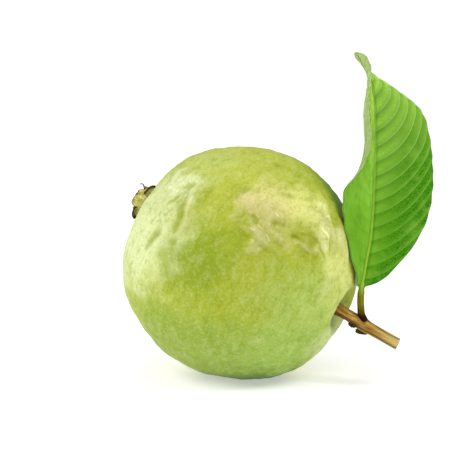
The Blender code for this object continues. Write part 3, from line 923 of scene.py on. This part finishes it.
def dry_tissue_material(settings):
    """Dead, shrivelled plant tissue: broken stalk and bud scales dried nearly black.

    It gives the eye a dull dark brown with a purple cast, paler fibres and a wrinkled surface.
    """
    material, tree, shader, place, pale = new_material(
        "shrivelled_dark_tissue", {"Roughness": 0.8, "IOR": 1.45, "Specular IOR Level": 0.25}, "pale"
    )
    fibre = add_node(
        tree, "TexNoise", {"Vector": place, "Scale": 1 / (0.5 * MM), "Detail": 5.0, "Roughness": 0.65}
    )
    colour = paint(
        tree, settings.scab,
        ("#1B1210", fibre, 0.42, 0.70),
        ("#6B4A2A", fibre, 0.40, 0.26, 0.6),
        ("#B79A6E", pale),
    )
    dress(tree, shader, colour, ((fibre, 0.8, 0.20),))
    return material


def make_stub_piece(material):
    """The stalk of the missing leaf, broken off short, with a ragged hollow end."""
    sides, steps = STUB_SIDES, STUB_STEPS
    place = np.linspace(0.0, 1.0, steps)
    rows = [(number / (len(STUB_STATIONS) - 1), *row) for number, row in enumerate(STUB_STATIONS)]
    row = smooth_rows(rows, place)
    path = np.stack([np.full(steps, 0.35) * place, -row[:, 2], row[:, 1]], axis=1)
    rings, wheel = tube_rings(path, row[:, 3], sides)
    wrinkle = lumps(rings / np.array((0.7, 0.7, 1.6)), 1.0, 6.3)
    rings += wheel * (wrinkle * 0.16)[:, :, None]
    ragged = lumps(rings[-1], 0.55, 4.4) * 0.45
    rings[:, :, 2] -= smooth_step((place - 0.82) / 0.18)[:, None] * ragged[None]
    inner = path[-1] + (rings[-1] - path[-1]) * 0.62
    inner[:, 2] += 0.55
    points = np.concatenate([rings.reshape(-1, 3), inner, path[:1], inner.mean(0)[None]])
    faces = loop_faces(steps + 1, sides).tolist()
    faces += close_ends(steps + 1, sides, len(points) - 2, len(points) - 1)
    top = smooth_step((wheel[:, :, 1] - 0.35) / 0.4) * smooth_step((place - 0.25) / 0.3)[:, None]
    pale = np.concatenate([(top * 0.8).ravel(), np.full(sides, 0.1), (0.0, 0.0)])
    stub = mesh_object("broken_leaf_stalk", points * MM, faces, {"pale": pale}, [material])
    stub.matrix_world = axis_matrix(STEM_AXIS)
    settle(stub, "leaf_stub")


def make_bud_piece(material):
    """The dried bud at the foot of the missing leaf: small overlapping scales on an oval."""
    mesh, grid = ball_grid(BUD_CELLS)
    mesh.name = "dried_side_bud"
    along = grid[:, 0]
    turn = np.arctan2(grid[:, 2], grid[:, 1])
    scale_edge = ((along * 2.6 + 0.35 * np.cos(turn * 2.0)) % 1.0) - 0.5
    swell = 1.0 + 0.09 * scale_edge + 0.14 * lumps(grid, 0.45, 8.8)
    along_mm, below = BUD_PLACE
    local = grid * swell[:, None] * np.array(BUD_RADII)
    places = np.stack([local[:, 2] + 0.25, local[:, 1] - below, local[:, 0] + along_mm], axis=1)
    mesh.vertices.foreach_set("co", (places * MM).astype(np.float32).ravel())
    pale = np.clip(scale_edge - 0.42, 0.0, 1.0) * 4.0
    bud = finish_mesh(mesh, {"pale": pale}, [material])
    bud.matrix_world = axis_matrix(STEM_AXIS)
    settle(bud, "axillary_bud")


class GUAVA_OT_make_twig(bpy.types.Operator):
    """Makes the cut twig with its grooves, its scabbed foot, a broken leaf stalk and a dry bud"""

    bl_idname = "guava.make_twig"
    bl_label = "Make twig, broken stalk and bud"

    def execute(self, context):
        settings = context.scene.guava_twig
        make_twig_piece(settings)
        material = dry_tissue_material(settings)
        make_stub_piece(material)
        make_bud_piece(material)
        return {"FINISHED"}


# ---------------------------------------------------------------- leaf
def leaf_columns():
    """Places of the columns across the blade, -1 to 1, closer at the midrib and the margins."""
    step = np.linspace(-1.0, 1.0, 2 * LEAF_COLUMNS + 1)
    size = np.abs(step)
    return np.sign(step) * ((1.0 - COLUMN_CROWDING) * size + COLUMN_CROWDING * smooth_step(size))


def rib_offsets(distance, radius, sink, cover):
    """How far the rib and blade reach in front of and behind the blade's middle, in mm."""
    round_part = np.sqrt(np.maximum(radius**2 - distance**2, 0.0))
    inside = distance < radius
    front = np.where(inside, round_part - sink * radius, -9.0)
    back = np.where(inside, round_part + sink * radius, -9.0)
    blend = 0.18
    faces = []
    for reach in (front, back):
        share = np.clip(0.5 + 0.5 * (reach - cover) / blend, 0.0, 1.0)
        faces.append(cover + (reach - cover) * share + blend * share * (1.0 - share) * 0.5)
    return faces


def leaf_layout():
    """The blade's middle surface with the directions and distances that shape it, as arrays."""
    first, last = LEAF_STATIONS[0][0], LEAF_STATIONS[-1][0]
    along = np.concatenate(
        [np.linspace(first, 0.0, STALK_STEPS, endpoint=False), np.linspace(0.0, last, BLADE_STEPS)]
    )
    rows = smooth_rows(LEAF_STATIONS, along)
    across = leaf_columns()
    closing = np.clip((along - 1.0) / TIP_ROUNDING + 1.0, 0.0, 0.995)
    rows[:, 4] *= np.sqrt(1.0 - closing**2)
    half_width = rows[:, 4:5]
    away = across[None] * half_width  # distance from the midrib, in mm, to the right
    share = np.abs(across)[None]
    left = rows[:, 5:6] + (rows[:, 6:7] - rows[:, 5:6]) * share
    right = rows[:, 7:8] + (rows[:, 8:9] - rows[:, 7:8]) * share
    turn_over = smooth_step(away / 1.7 + 0.5)  # rounds the fold along the midrib
    slope = np.radians(-left * (1.0 - turn_over) + right * turn_over)
    middle = len(across) // 2
    step = np.diff(away, axis=1)
    sideways, forward = (
        np.concatenate(
            [np.zeros((len(along), 1)), np.cumsum((way[:, 1:] + way[:, :-1]) / 2 * step, axis=1)], 1
        )
        for way in (np.cos(slope), np.sin(slope))
    )
    sideways -= sideways[:, middle : middle + 1]
    forward -= forward[:, middle : middle + 1]
    twist = np.radians(rows[:, 9])
    right_way = np.stack([np.cos(twist), np.sin(twist), np.zeros_like(twist)], axis=1)[:, None]
    front_way = np.stack([np.sin(twist), -np.cos(twist), np.zeros_like(twist)], axis=1)[:, None]
    surface = rows[:, None, 1:4] + right_way * sideways[..., None] + front_way * forward[..., None]
    outward = front_way * np.cos(slope)[..., None] - right_way * np.sin(slope)[..., None]
    return along, across, rows, away, surface, outward


def looped(front, rear):
    """Rows that run over the front from left to right and back over the rear."""
    return np.concatenate([front, rear[:, -2:0:-1]], axis=1)


def vein_places(height, across, half_width):
    """The number, with its fraction, of the side vein at each point of the blade."""
    rise = smooth_rows(VEIN_RISE, height[:, 0])
    share = np.abs(across)[None]
    lift = half_width * (rise[:, 1:2] * share + rise[:, 2:3] * share**2)
    foot = height - lift
    number = np.interp(foot, VEIN_FEET, np.arange(len(VEIN_FEET)))
    return number + 0.45 * (across < 0)[None] * smooth_step(share / 0.06)


def leaf_material(settings):
    """Living guava leaf: leathery, with a thin cuticle above and pale felt below.

    It gives the eye a deep green that lightens towards the tip, the midrib and the left, partly its own
    young green and partly painted light from the upper left, a deeper green low on the right margin as
    painted shade, thin pale side veins, panels painted from light to dark between them as painted
    shade, a dark rim of painted shade at the margin, dark lines of painted shade beside the midrib, a
    fine net and a low satin sheen.
    """
    material, tree, shader, place, along, out, vein, rib, rib_radius, under, margin = new_material(
        "living_guava_leaf",
        {
            "Roughness": 0.5, "IOR": 1.38, "Specular IOR Level": 0.07,
            "Subsurface Weight": 0.12, "Subsurface Radius": (0.5, 1.0, 0.1),
            "Subsurface Scale": 0.8 * MM,
        },
        "along", "out", "vein", "rib_distance", "rib_radius", "underside", "margin_distance",
    )
    cloud = add_node(tree, "TexNoise", {"Vector": place, "Scale": 1 / (7 * MM), "Detail": 4.0})
    # Deep green at the right margin, lighter up the blade, along the midrib and on the left: partly the
    # leaf's own young green, partly painted light from the upper left
    colour = paint(
        tree, settings.upper,
        (settings.light, along, 0.22, 0.80),
        (settings.light, rib, 9.0, 0.5, 0.28),
    )
    low, left, inside = (
        add_node(
            tree, "MapRange", {"Value": value, "From Min": start, "From Max": end},
            interpolation_type="SMOOTHSTEP",
        )
        for value, start, end in ((along, 0.95, 0.45), (out, 0.0, -0.06), (margin, 0.3, 2.5))
    )
    # Painted shade: deep green towards the right margin low on the blade; painted light: a lighter
    # green over the left half
    colour = paint(
        tree, colour,
        ("#1A7400", out, 0.08, 0.66, 1.0, low),
        ("#76AC30", out, -0.02, -0.30, 0.70),
    )
    stretched = add_node(tree, "Mapping", {"Vector": place, "Scale": (1.0, 1.0, 0.09)})
    streak = add_node(tree, "TexNoise", {"Vector": stretched, "Scale": 1 / MM, "Detail": 3.0})
    colour = paint(tree, colour, ("#4C8C1C", streak, 0.50, 0.70, 0.6, left))
    shown = add_node(tree, "Math", {0: left, 1: -0.80, 2: 1.0}, operation="MULTIPLY_ADD")
    colour = paint(
        tree, colour,
        (settings.light, cloud, 0.50, 0.72, 0.30),
        ("#37780A", cloud, 0.48, 0.28, 0.35),
    )
    # Panels: painted light just above each vein and painted shade just under the next, standing for the
    # shading of panels that sag between raised veins
    phase = add_node(tree, "Math", {0: vein}, operation="FRACT")
    colour = paint(
        tree, colour,
        ("#267004", phase, 0.25, 1.0, 0.62, shown),
        ("#8CC846", phase, 0.45, 0.05, 0.30, shown),
    )
    # Net of the smallest veins: drawn at 1 mm and 0.45 mm, a little coarser than life, to show
    nets = []
    for size, strength in ((1.0, 0.40), (0.45, 0.26)):
        cells = add_node(
            tree, "TexVoronoi", {"Vector": place, "Scale": 1 / (size * MM)},
            feature="DISTANCE_TO_EDGE",
        )
        colour = paint(tree, colour, ("#78B420", cells, 0.16, 0.02, strength))
        nets.append(cells)
    # Side veins 0.35 mm wide, where the vein number is whole, fading out at the margin
    beside = vein
    for operation, amount in (("ADD", 0.5), ("FRACT", 0.0), ("SUBTRACT", 0.5), ("ABSOLUTE", 0.0)):
        beside = add_node(tree, "Math", {0: beside, 1: amount}, operation=operation)
    line = add_node(
        tree, "MapRange", {"Value": beside, "From Min": 0.050, "From Max": 0.014, "To Max": 0.84},
        interpolation_type="SMOOTHSTEP",
    )
    for fading in (inside, shown):
        line = add_node(tree, "Math", {0: line, 1: fading}, operation="MULTIPLY")
    vein_colour = paint(tree, "#74B42A", (settings.vein, along, 0.15, 0.80))
    # The dark rim at the margin is painted shade of the blade's edge; the pale side veins are the
    # leaf's own
    colour = paint(
        tree, colour,
        (vein_colour, line),
        ("#2B5F08", margin, 0.42, 0.10, 0.80),
    )
    # Underside: pale and felted, with its veins a little paler still
    felt = add_node(tree, "TexNoise", {"Vector": place, "Scale": 1 / (1.2 * MM), "Detail": 4.0})
    pale = paint(
        tree, settings.under,
        ("#8FAA5E", felt, 0.35, 0.70),
        ("#C2D09A", line),
    )
    colour = paint(tree, colour, (pale, under))
    # Midrib: pale along its middle, most of all near the foot, between two dark lines of painted shade
    ribbed = add_node(tree, "Math", {0: rib, 1: rib_radius}, operation="DIVIDE")
    colour = paint(tree, colour, ("#3E7A12", ribbed, 2.4, 1.0, 0.45))
    core, foot, edge = (
        add_node(
            tree, "MapRange",
            {"Value": value, "From Min": start, "From Max": end, "To Max": most},
            interpolation_type="SMOOTHSTEP",
        )
        for value, start, end, most in (
            (ribbed, 0.88, 0.55, 1.0), (along, 0.70, 0.10, 0.60), (ribbed, 0.90, 0.62, 1.0),
        )
    )
    core = add_node(tree, "Math", {0: core, 1: foot, 2: 0.25}, operation="MULTIPLY_ADD")
    colour = paint(tree, colour, ("#A6C43A", core, None, 1.0, 1.0, edge))
    # Stalk: green above, olive brown and then nearly black towards the twig
    stalk = add_node(tree, "Math", {0: cloud, 1: 0.02, 2: along}, operation="MULTIPLY_ADD")
    colour = paint(
        tree, colour,
        ("#7A7414", stalk, 0.012, -0.035, 0.95),
        ("#4C3C10", stalk, -0.055, -0.098, 0.90),
        ("#24140A", stalk, -0.092, -0.112, 0.95),
    )
    roughness = add_node(
        tree, "MapRange", {"Value": under, "To Min": 0.47, "To Max": 0.77},
        interpolation_type="SMOOTHSTEP",
    )
    dress(tree, shader, colour, ((line, 0.7, 0.12), (nets[0], 0.45, 0.10)), roughness)
    return material


class GUAVA_OT_make_leaf(bpy.types.Operator):
    """Makes the leaf: stalk, midrib, folded blade, raised side veins and the curled tip"""

    bl_idname = "guava.make_leaf"
    bl_label = "Make leaf"

    def execute(self, context):
        settings = context.scene.guava_leaf
        along, across, rows, away, surface, outward = leaf_layout()
        half_width = rows[:, 4:5]
        to_margin = half_width - np.abs(away)
        grown = smooth_step((along + 0.045) / 0.07)[:, None]  # 0 on the stalk, 1 on the blade
        first, last = MIDRIB_RADII
        rib = (first + (last - first) * np.clip(along, 0.0, 1.0))[:, None]
        rib = half_width * (1.0 - grown) + np.minimum(rib, half_width) * grown
        sheet = settings.thickness / MM / 2.0
        cover = sheet * np.sqrt(np.clip(to_margin / 0.28, 0.0, 1.0)) * grown
        front, back = rib_offsets(np.abs(away), rib, MIDRIB_SINK * grown, cover)
        height = np.repeat(surface[:, len(across) // 2, 2:3], len(across), axis=1)
        vein = vein_places(height, across, half_width)
        phase = vein % 1.0
        flat_part = smooth_step((np.abs(away) - rib) / 2.2) * grown
        inner = smooth_step(to_margin / 2.5)
        sag = -PANEL_SAG * 4.0 * phase * (1.0 - phase) * flat_part * inner
        nearest = np.abs(phase - np.round(phase))
        raised = VEIN_HEIGHT * bell(nearest, 0.075) * flat_part * inner
        wave_length, wave_height = BLADE_WAVE
        waves = lumps(surface, wave_length, 1.7) * wave_height
        ripple = np.sin(vein * 2.0 * math.pi) * MARGIN_WAVE * np.abs(across)[None] ** 4
        lift = sag + (waves + ripple) * flat_part
        lift += 0.05 * lumps(surface, 1.3, 5.9) * flat_part
        face = surface + outward * (front + raised + lift)[..., None]
        rear = surface - outward * (back + raised * 1.6 - lift)[..., None]
        loops = looped(face, rear)
        count = loops.shape[1]
        ends = [loops[0].mean(axis=0), loops[-1].mean(axis=0)]
        points = np.concatenate([loops.reshape(-1, 3), ends])
        faces = loop_faces(len(along), count).tolist()
        faces += close_ends(len(along), count, len(points) - 2, len(points) - 1)
        marks = {}
        for key, values in {
            "along": np.repeat(along[:, None], len(across), axis=1),
            "out": np.repeat(across[None], len(along), axis=0) * grown,
            "vein": vein,
            "rib_distance": np.abs(away),
            "rib_radius": np.repeat(rib, len(across), axis=1),
            "margin_distance": to_margin + 9.0 * (1.0 - grown),
        }.items():
            tips = [values[0].mean(), values[-1].mean()]
            marks[key] = np.concatenate([looped(values, values).ravel(), tips])
        side = looped(np.zeros_like(vein), np.ones_like(vein))
        side[:, 0] = side[:, len(across) - 1] = 0.5
        marks["underside"] = np.concatenate([(side * grown).ravel(), (0.0, 1.0)])
        leaf = mesh_object("guava_leaf", points * MM, faces, marks, [leaf_material(settings)])
        leaf.location = FRUIT_CENTRE
        settle(leaf, "leaf")
        return {"FINISHED"}


# ---------------------------------------------------------------- calyx
def calyx_matrix():
    """The calyx axis from the skin in its hollow outwards."""
    return axis_matrix(CALYX_AXIS, broad_reach(np.array([CALYX_AXIS]))[0])


def calyx_material(settings):
    """Calyx dried on the fruit: papery, wrinkled sepals that withered from the edge inwards.

    It gives the eye a dull olive straw with brown blotches, near-black edges and no sheen.
    """
    material, tree, shader, place, dead = new_material(
        "dried_papery_calyx", {"Roughness": 0.85, "IOR": 1.45, "Specular IOR Level": 0.2}, "dead"
    )
    blotch = add_node(
        tree, "TexNoise", {"Vector": place, "Scale": 1 / (1.2 * MM), "Detail": 5.0, "Roughness": 0.7}
    )
    colour = paint(
        tree, settings.tissue,
        ("#85883A", blotch, 0.47, 0.62, 0.8),
        ("#D2CC86", blotch, 0.45, 0.33, 0.7),
    )
    fibre = add_node(tree, "TexNoise", {"Vector": place, "Scale": 1 / (0.4 * MM), "Detail": 3.0})
    colour = paint(tree, colour, ("#6A662C", fibre, 0.50, 0.66, 0.65))
    dead = add_node(tree, "Math", {0: blotch, 1: 0.9, 2: dead}, operation="MULTIPLY_ADD")
    colour = paint(
        tree, colour,
        ("#5D4E22", dead, 0.72, 1.05, 0.75),
        (settings.edge, dead, 0.95, 1.22, 0.95),
    )
    dress(tree, shader, colour, ((fibre, 0.8, 0.22),))
    return material


def make_ring_piece(material):
    """The low wrinkled ring that carries the sepals."""
    profile = [(number, *row) for number, row in enumerate(RING_PROFILE)]
    closed = [(-1, *RING_PROFILE[-1]), *profile, (len(RING_PROFILE), *RING_PROFILE[0])]
    count = len(RING_PROFILE) * (RING_CUTS + 1)
    place = np.arange(count) * len(RING_PROFILE) / count
    row = smooth_rows([*closed, (len(RING_PROFILE) + 1, *RING_PROFILE[1])], place)
    turn = np.arange(RING_STEPS) * 2.0 * math.pi / RING_STEPS
    radius, height = row[:, 1][None], row[:, 2][None]
    lobed = 1.0 + 0.025 * np.cos(5.0 * turn)[:, None] + 0.02 * np.sin(3.0 * turn)[:, None]
    x, y = radius * lobed * np.cos(turn)[:, None], radius * lobed * np.sin(turn)[:, None]
    points = np.stack([x, y, np.repeat(height, RING_STEPS, axis=0)], axis=-1).reshape(-1, 3)
    wrinkle = lumps(points * (1.0, 1.0, 0.5), 0.8, 2.9) * 0.22 + lumps(points, 2.2, 7.7) * 0.22
    points += unit(points * (1.0, 1.0, 0.0)) * wrinkle[:, None]
    points[:, 2] += lumps(points, 1.7, 4.1) * 0.18
    faces = loop_faces(RING_STEPS, count)
    joint = loop_faces(2, count)
    joint = np.where(joint < count, joint + (RING_STEPS - 1) * count, joint - count)
    dead = smooth_step((3.6 - np.hypot(points[:, 0], points[:, 1])) / 1.2) * 0.5
    ring = mesh_object(
        "calyx_ring_dried", points * MM, np.concatenate([faces, joint])[:, ::-1].tolist(),
        {"dead": dead}, [material],
    )
    ring.matrix_world = calyx_matrix()
    settle(ring, "calyx_ring")


def make_sepal_piece(number, settings, material):
    """One withered sepal: a thin curled flap with torn edges, thicker at its foot."""
    cells = SEPAL_CELLS
    across, rise = np.meshgrid(
        np.linspace(-1.0, 1.0, cells + 1), np.linspace(0.0, 1.0, cells + 1), indexing="xy"
    )
    heading = math.radians(SEPAL_TURNS[number])
    torn = lumps(np.stack([across * 1.6, rise * 0.0 + number * 3.3, rise], axis=-1), 0.42)
    torn *= settings.ragged / MM
    narrow = np.sqrt(np.maximum(1.0 - (rise * SEPAL_TIP) ** SEPAL_FULLNESS, 0.0))
    turn = heading + math.radians(SEPAL_HALF_ANGLE) * across * narrow
    length = SEPAL_LENGTHS[number] + torn * rise**2
    lean = math.radians(SEPAL_LEANS[number])
    tilt = lean * rise ** SEPAL_CURLS[number]
    step = length / cells
    radius = SEPAL_RADIUS + np.cumsum(np.sin(tilt) * step, axis=0)
    height = SEPAL_FOOT + np.cumsum(np.cos(tilt) * step, axis=0)
    curl = 0.35 * (across * narrow) ** 2 * rise
    radius = radius - curl * math.cos(lean)
    middle = np.stack([radius * np.cos(turn), radius * np.sin(turn), height], axis=-1)
    outward = unit(np.cross(np.gradient(middle, axis=1), np.gradient(middle, axis=0)))
    wrinkle = lumps(middle * (1.0, 1.0, 0.45), 0.75, number + 1.3)
    middle += outward * (wrinkle * 0.30)[..., None]
    edge = np.minimum(1.0 - np.abs(across), 1.0 - rise)
    foot, tip = SEPAL_THICKNESS
    half = (foot + (tip - foot) * rise) / 2.0 * np.sqrt(np.clip(edge / 0.10, 0.0, 1.0))
    half = np.where(rise < 0.02, foot / 2.0, half)
    face, rear = middle + outward * half[..., None], middle - outward * half[..., None]
    bm = bmesh.new()
    grids = []
    for grid in (face, rear):
        grids.append([[bm.verts.new(spot * MM) for spot in line] for line in grid])
    for grid, flip in zip(grids, (False, True)):
        for i in range(cells):
            for j in range(cells):
                quad = (grid[i][j], grid[i][j + 1], grid[i + 1][j + 1], grid[i + 1][j])
                bm.faces.new(quad[::-1] if flip else quad)
    border = [(0, j) for j in range(cells)] + [(i, cells) for i in range(cells)]
    border += [(cells, j) for j in range(cells, 0, -1)] + [(i, 0) for i in range(cells, 0, -1)]
    for (i, j), (k, m) in zip(border, border[1:] + border[:1]):
        bm.faces.new((grids[0][k][m], grids[0][i][j], grids[1][i][j], grids[1][k][m]))
    bm.verts.index_update()
    dead = np.maximum(smooth_step(1.0 - edge / 0.30), smooth_step((rise - 0.62) / 0.4)) * 0.75
    dead = dead * (rise > 0.12) + 0.85 * (abs(SEPAL_LEANS[number]) > 60) * rise**1.5
    marks = np.concatenate([dead.ravel(), dead.ravel() + 0.10])
    bmesh.ops.remove_doubles(bm, verts=bm.verts, dist=0.0)
    bmesh.ops.recalc_face_normals(bm, faces=bm.faces)
    mesh = bpy.data.meshes.new(f"dried_sepal_{number + 1}")
    bm.to_mesh(mesh)
    bm.free()
    sepal = finish_mesh(mesh, {"dead": marks}, [material])
    sepal.matrix_world = calyx_matrix()
    settle(sepal, f"sepal_{number + 1}")


def make_flower_remains(material):
    """The withered style that hooks over the crown, and the dry stamens round its foot."""
    steps, sides = STYLE_STEPS, STYLE_SIDES
    paths = [np.array([(reach, rise, height) for height, rise, reach, _ in STYLE_STATIONS])]
    widths = [[radius for *_, radius in STYLE_STATIONS]]
    for number in range(STAMEN_COUNT):
        turn = number * GOLDEN_ANGLE
        spread = 0.9 + 1.5 * ((number * 0.618034) % 1.0)
        tall = 1.6 + 1.3 * ((number * 0.754878) % 1.0)
        bend = 0.9 * math.sin(number * 1.7)
        way = np.array((math.cos(turn), math.sin(turn), 0.0))
        aside = np.array((-way[1], way[0], 0.0))
        share = np.linspace(0.0, 1.0, 6)[:, None]
        foot = way * spread * 0.8 + (0.0, 0.0, -0.5)
        paths.append(foot + way * spread * 0.4 * share + aside * bend * share**2 + share * (0, 0, tall))
        widths.append([STAMEN_RADIUS] * 4 + [STAMEN_RADIUS * 1.7, STAMEN_RADIUS * 1.2])
    points, faces, start = [], [], 0
    for path, width in zip(paths, widths):
        rows = [(place, *spot, radius) for place, (spot, radius) in enumerate(zip(path, width))]
        fine = smooth_rows(rows, np.linspace(0.0, len(rows) - 1.0, steps))
        rings, wheel = tube_rings(fine[:, 1:4], fine[:, 4], sides)
        flat = rings.reshape(-1, 3)
        flat = flat + wheel.reshape(-1, 3) * (lumps(flat, 0.35, 3.9) * 0.05)[:, None]
        count = len(flat)
        points += [flat, fine[:1, 1:4], fine[-1:, 1:4]]
        tube = loop_faces(steps, sides).tolist() + close_ends(steps, sides, count, count + 1)
        faces += [[corner + start for corner in face] for face in tube]
        start += count + 2
    points = np.concatenate(points)
    pale = smooth_step((points[:, 2] - 3.2) / 2.0) * 0.15
    remains = mesh_object("withered_style_and_stamens", points * MM, faces, {"pale": pale}, [material])
    remains.matrix_world = calyx_matrix()
    settle(remains, "style_remnant")


class GUAVA_OT_make_calyx(bpy.types.Operator):
    """Makes the dried calyx: its ring, five torn sepals and the withered style and stamens"""

    bl_idname = "guava.make_calyx"
    bl_label = "Make calyx"

    def execute(self, context):
        settings = context.scene.guava_calyx
        material = calyx_material(settings)
        make_ring_piece(material)
        for number in range(len(SEPAL_LENGTHS)):
            make_sepal_piece(number, settings, material)
        make_flower_remains(dry_tissue_material(context.scene.guava_twig))
        return {"FINISHED"}


# ---------------------------------------------------------------- stage
CAMERA_ELEVATION = 8.0
CAMERA_DISTANCE = 438 * MM
CAMERA_AIM = Vector((-4.5, 11.4)) * MM  # from the fruit's centre to the right, and up
CAMERA_LENS = 100.0
FLOOR_RADIUS = 4.0
SOFTBOXES = {
    # heading from -Y towards +X, rise, distance, width and height
    "key_softbox": (-68.0, 38.0, 1.1, 0.50, 0.75),
    "fill_softbox": (66.0, 47.0, 1.1, 0.45, 0.45),
}
CEILING_SPREAD = 70.0
CEILING_PLACE = (-0.25, -0.35, 1.5)
BACKDROP_STRENGTH = 1.05


def floor_material():
    """White acrylic floor that glows of itself, so it stays white and takes only a faint soft shadow;
    its glow is weaker near the fruit, which is painted shade round the fruit.
    """
    material, tree, shader, place = new_material(
        "glowing_white_floor",
        {
            "Roughness": 0.6, "Specular IOR Level": 0.1,
            "Emission Color": (1.0, 1.0, 1.0, 1.0), "Emission Strength": 0.52,
        },
    )
    haze = add_node(tree, "TexNoise", {"Vector": place, "Scale": 1 / (60 * MM)})
    # A faint violet tint offsets the green light that the fruit throws on the floor
    white = paint(tree, "#F0EDF6", ("#EDEAF3", haze, 0.3, 0.7))
    tree.links.new(white, shader.inputs["Base Color"])
    # The floor's own glow is weaker near the fruit, as painted shade round it, so the fruit's shadow
    # stays
    away = add_node(tree, "VectorMath", {0: place}, "Value", operation="LENGTH")
    glow = add_node(
        tree, "MapRange",
        {"Value": away, "From Min": 0.10, "From Max": 0.9, "To Min": 0.40, "To Max": 0.66},
    )
    tree.links.new(glow, shader.inputs["Emission Strength"])
    return material


def make_floor():
    bm = bmesh.new()
    bmesh.ops.create_circle(bm, cap_ends=True, segments=96, radius=FLOOR_RADIUS)
    mesh = bpy.data.meshes.new("floor")
    bm.to_mesh(mesh)
    bm.free()
    mesh.materials.append(floor_material())
    add_object("floor", mesh)


def make_world(strength):
    """White all round: full white behind the fruit, and an even light of its own strength."""
    world = bpy.data.worlds.new("white_surround")
    world.use_nodes = True
    tree = world.node_tree
    tree.nodes.clear()
    light = add_node(tree, "Background", {"Color": "#FFFFFF", "Strength": strength})
    seen = add_node(tree, "Background", {"Color": "#FFFFFF", "Strength": BACKDROP_STRENGTH})
    ray = add_node(tree, "LightPath", out="Is Camera Ray")
    mixed = add_node(tree, "MixShader", {0: ray, 1: light, 2: seen})
    add_node(tree, "OutputWorld", {"Surface": mixed})
    bpy.context.scene.world = world


def look_from(name, data, place, target):
    """Puts a light or the camera in its place, turned to the target."""
    thing = add_object(name, data)
    thing.location = place
    thing.rotation_mode = "QUATERNION"
    thing.rotation_quaternion = (Vector(target) - Vector(place)).to_track_quat("-Z", "Y")
    return thing


class GUAVA_OT_make_stage(bpy.types.Operator):
    """Makes the pale floor, the soft studio light and the camera"""

    bl_idname = "guava.make_stage"
    bl_label = "Make stage"

    def execute(self, context):
        settings = context.scene.guava_stage
        scene = context.scene
        make_floor()
        make_world(settings.surround)
        powers = {"key_softbox": settings.key, "fill_softbox": settings.fill}
        ceiling = bpy.data.lights.new("white_ceiling", "SUN")
        ceiling.energy = settings.ceiling
        ceiling.angle = math.radians(CEILING_SPREAD)
        look_from("white_ceiling", ceiling, CEILING_PLACE, FRUIT_CENTRE)
        for name, (heading, rise, distance, width, height) in SOFTBOXES.items():
            place = FRUIT_CENTRE + heading_vector(heading, rise) * distance
            light = bpy.data.lights.new(name, "AREA")
            light.shape = "RECTANGLE"
            light.size, light.size_y = width, height
            light.energy = powers[name]
            look_from(name, light, place, FRUIT_CENTRE)
        camera = bpy.data.cameras.new("camera")
        camera.lens = CAMERA_LENS
        camera.clip_start, camera.clip_end = 0.01, 20.0
        lift = math.radians(CAMERA_ELEVATION)
        back = Vector((0.0, -math.cos(lift), math.sin(lift)))
        up = Vector((0.0, math.sin(lift), math.cos(lift)))
        aim = FRUIT_CENTRE + Vector((CAMERA_AIM.x, 0.0, 0.0)) + up * CAMERA_AIM.y
        place = FRUIT_CENTRE + back * CAMERA_DISTANCE
        scene.camera = look_from("camera", camera, place, aim)
        scene.view_settings.view_transform = "Standard"
        scene.view_settings.look = "None"
        return {"FINISHED"}


# ---------------------------------------------------------------- add-on
GROUPS = {
    "guava_fruit": FruitSettings,
    "guava_calyx": CalyxSettings,
    "guava_twig": TwigSettings,
    "guava_leaf": LeafSettings,
    "guava_stage": StageSettings,
}
OPERATORS = (
    GUAVA_OT_make_fruit,
    GUAVA_OT_make_calyx,
    GUAVA_OT_make_twig,
    GUAVA_OT_make_leaf,
    GUAVA_OT_make_stage,
)


class GUAVA_PT_pieces(bpy.types.Panel):
    """Lists the pieces of the guava with their sizes and colours"""

    bl_idname = "GUAVA_PT_pieces"
    bl_label = "Guava"
    bl_space_type = "VIEW_3D"
    bl_region_type = "UI"
    bl_category = "Guava"

    def draw(self, context):
        for (name, group), operator in zip(GROUPS.items(), OPERATORS):
            box = self.layout.box()
            for setting in group.__annotations__:
                box.prop(getattr(context.scene, name), setting)
            box.operator(operator.bl_idname)


def register():
    for kind in (*GROUPS.values(), *OPERATORS, GUAVA_PT_pieces):
        bpy.utils.register_class(kind)
    for name, group in GROUPS.items():
        setattr(bpy.types.Scene, name, PointerProperty(type=group))


def unregister():
    for name in GROUPS:
        delattr(bpy.types.Scene, name)
    for kind in (GUAVA_PT_pieces, *reversed(OPERATORS), *reversed(GROUPS.values())):
        bpy.utils.unregister_class(kind)


def main():
    register()
    for operator in OPERATORS:
        family, name = operator.bl_idname.split(".")
        getattr(getattr(bpy.ops, family), name)()


if __name__ == "__main__":
    main()
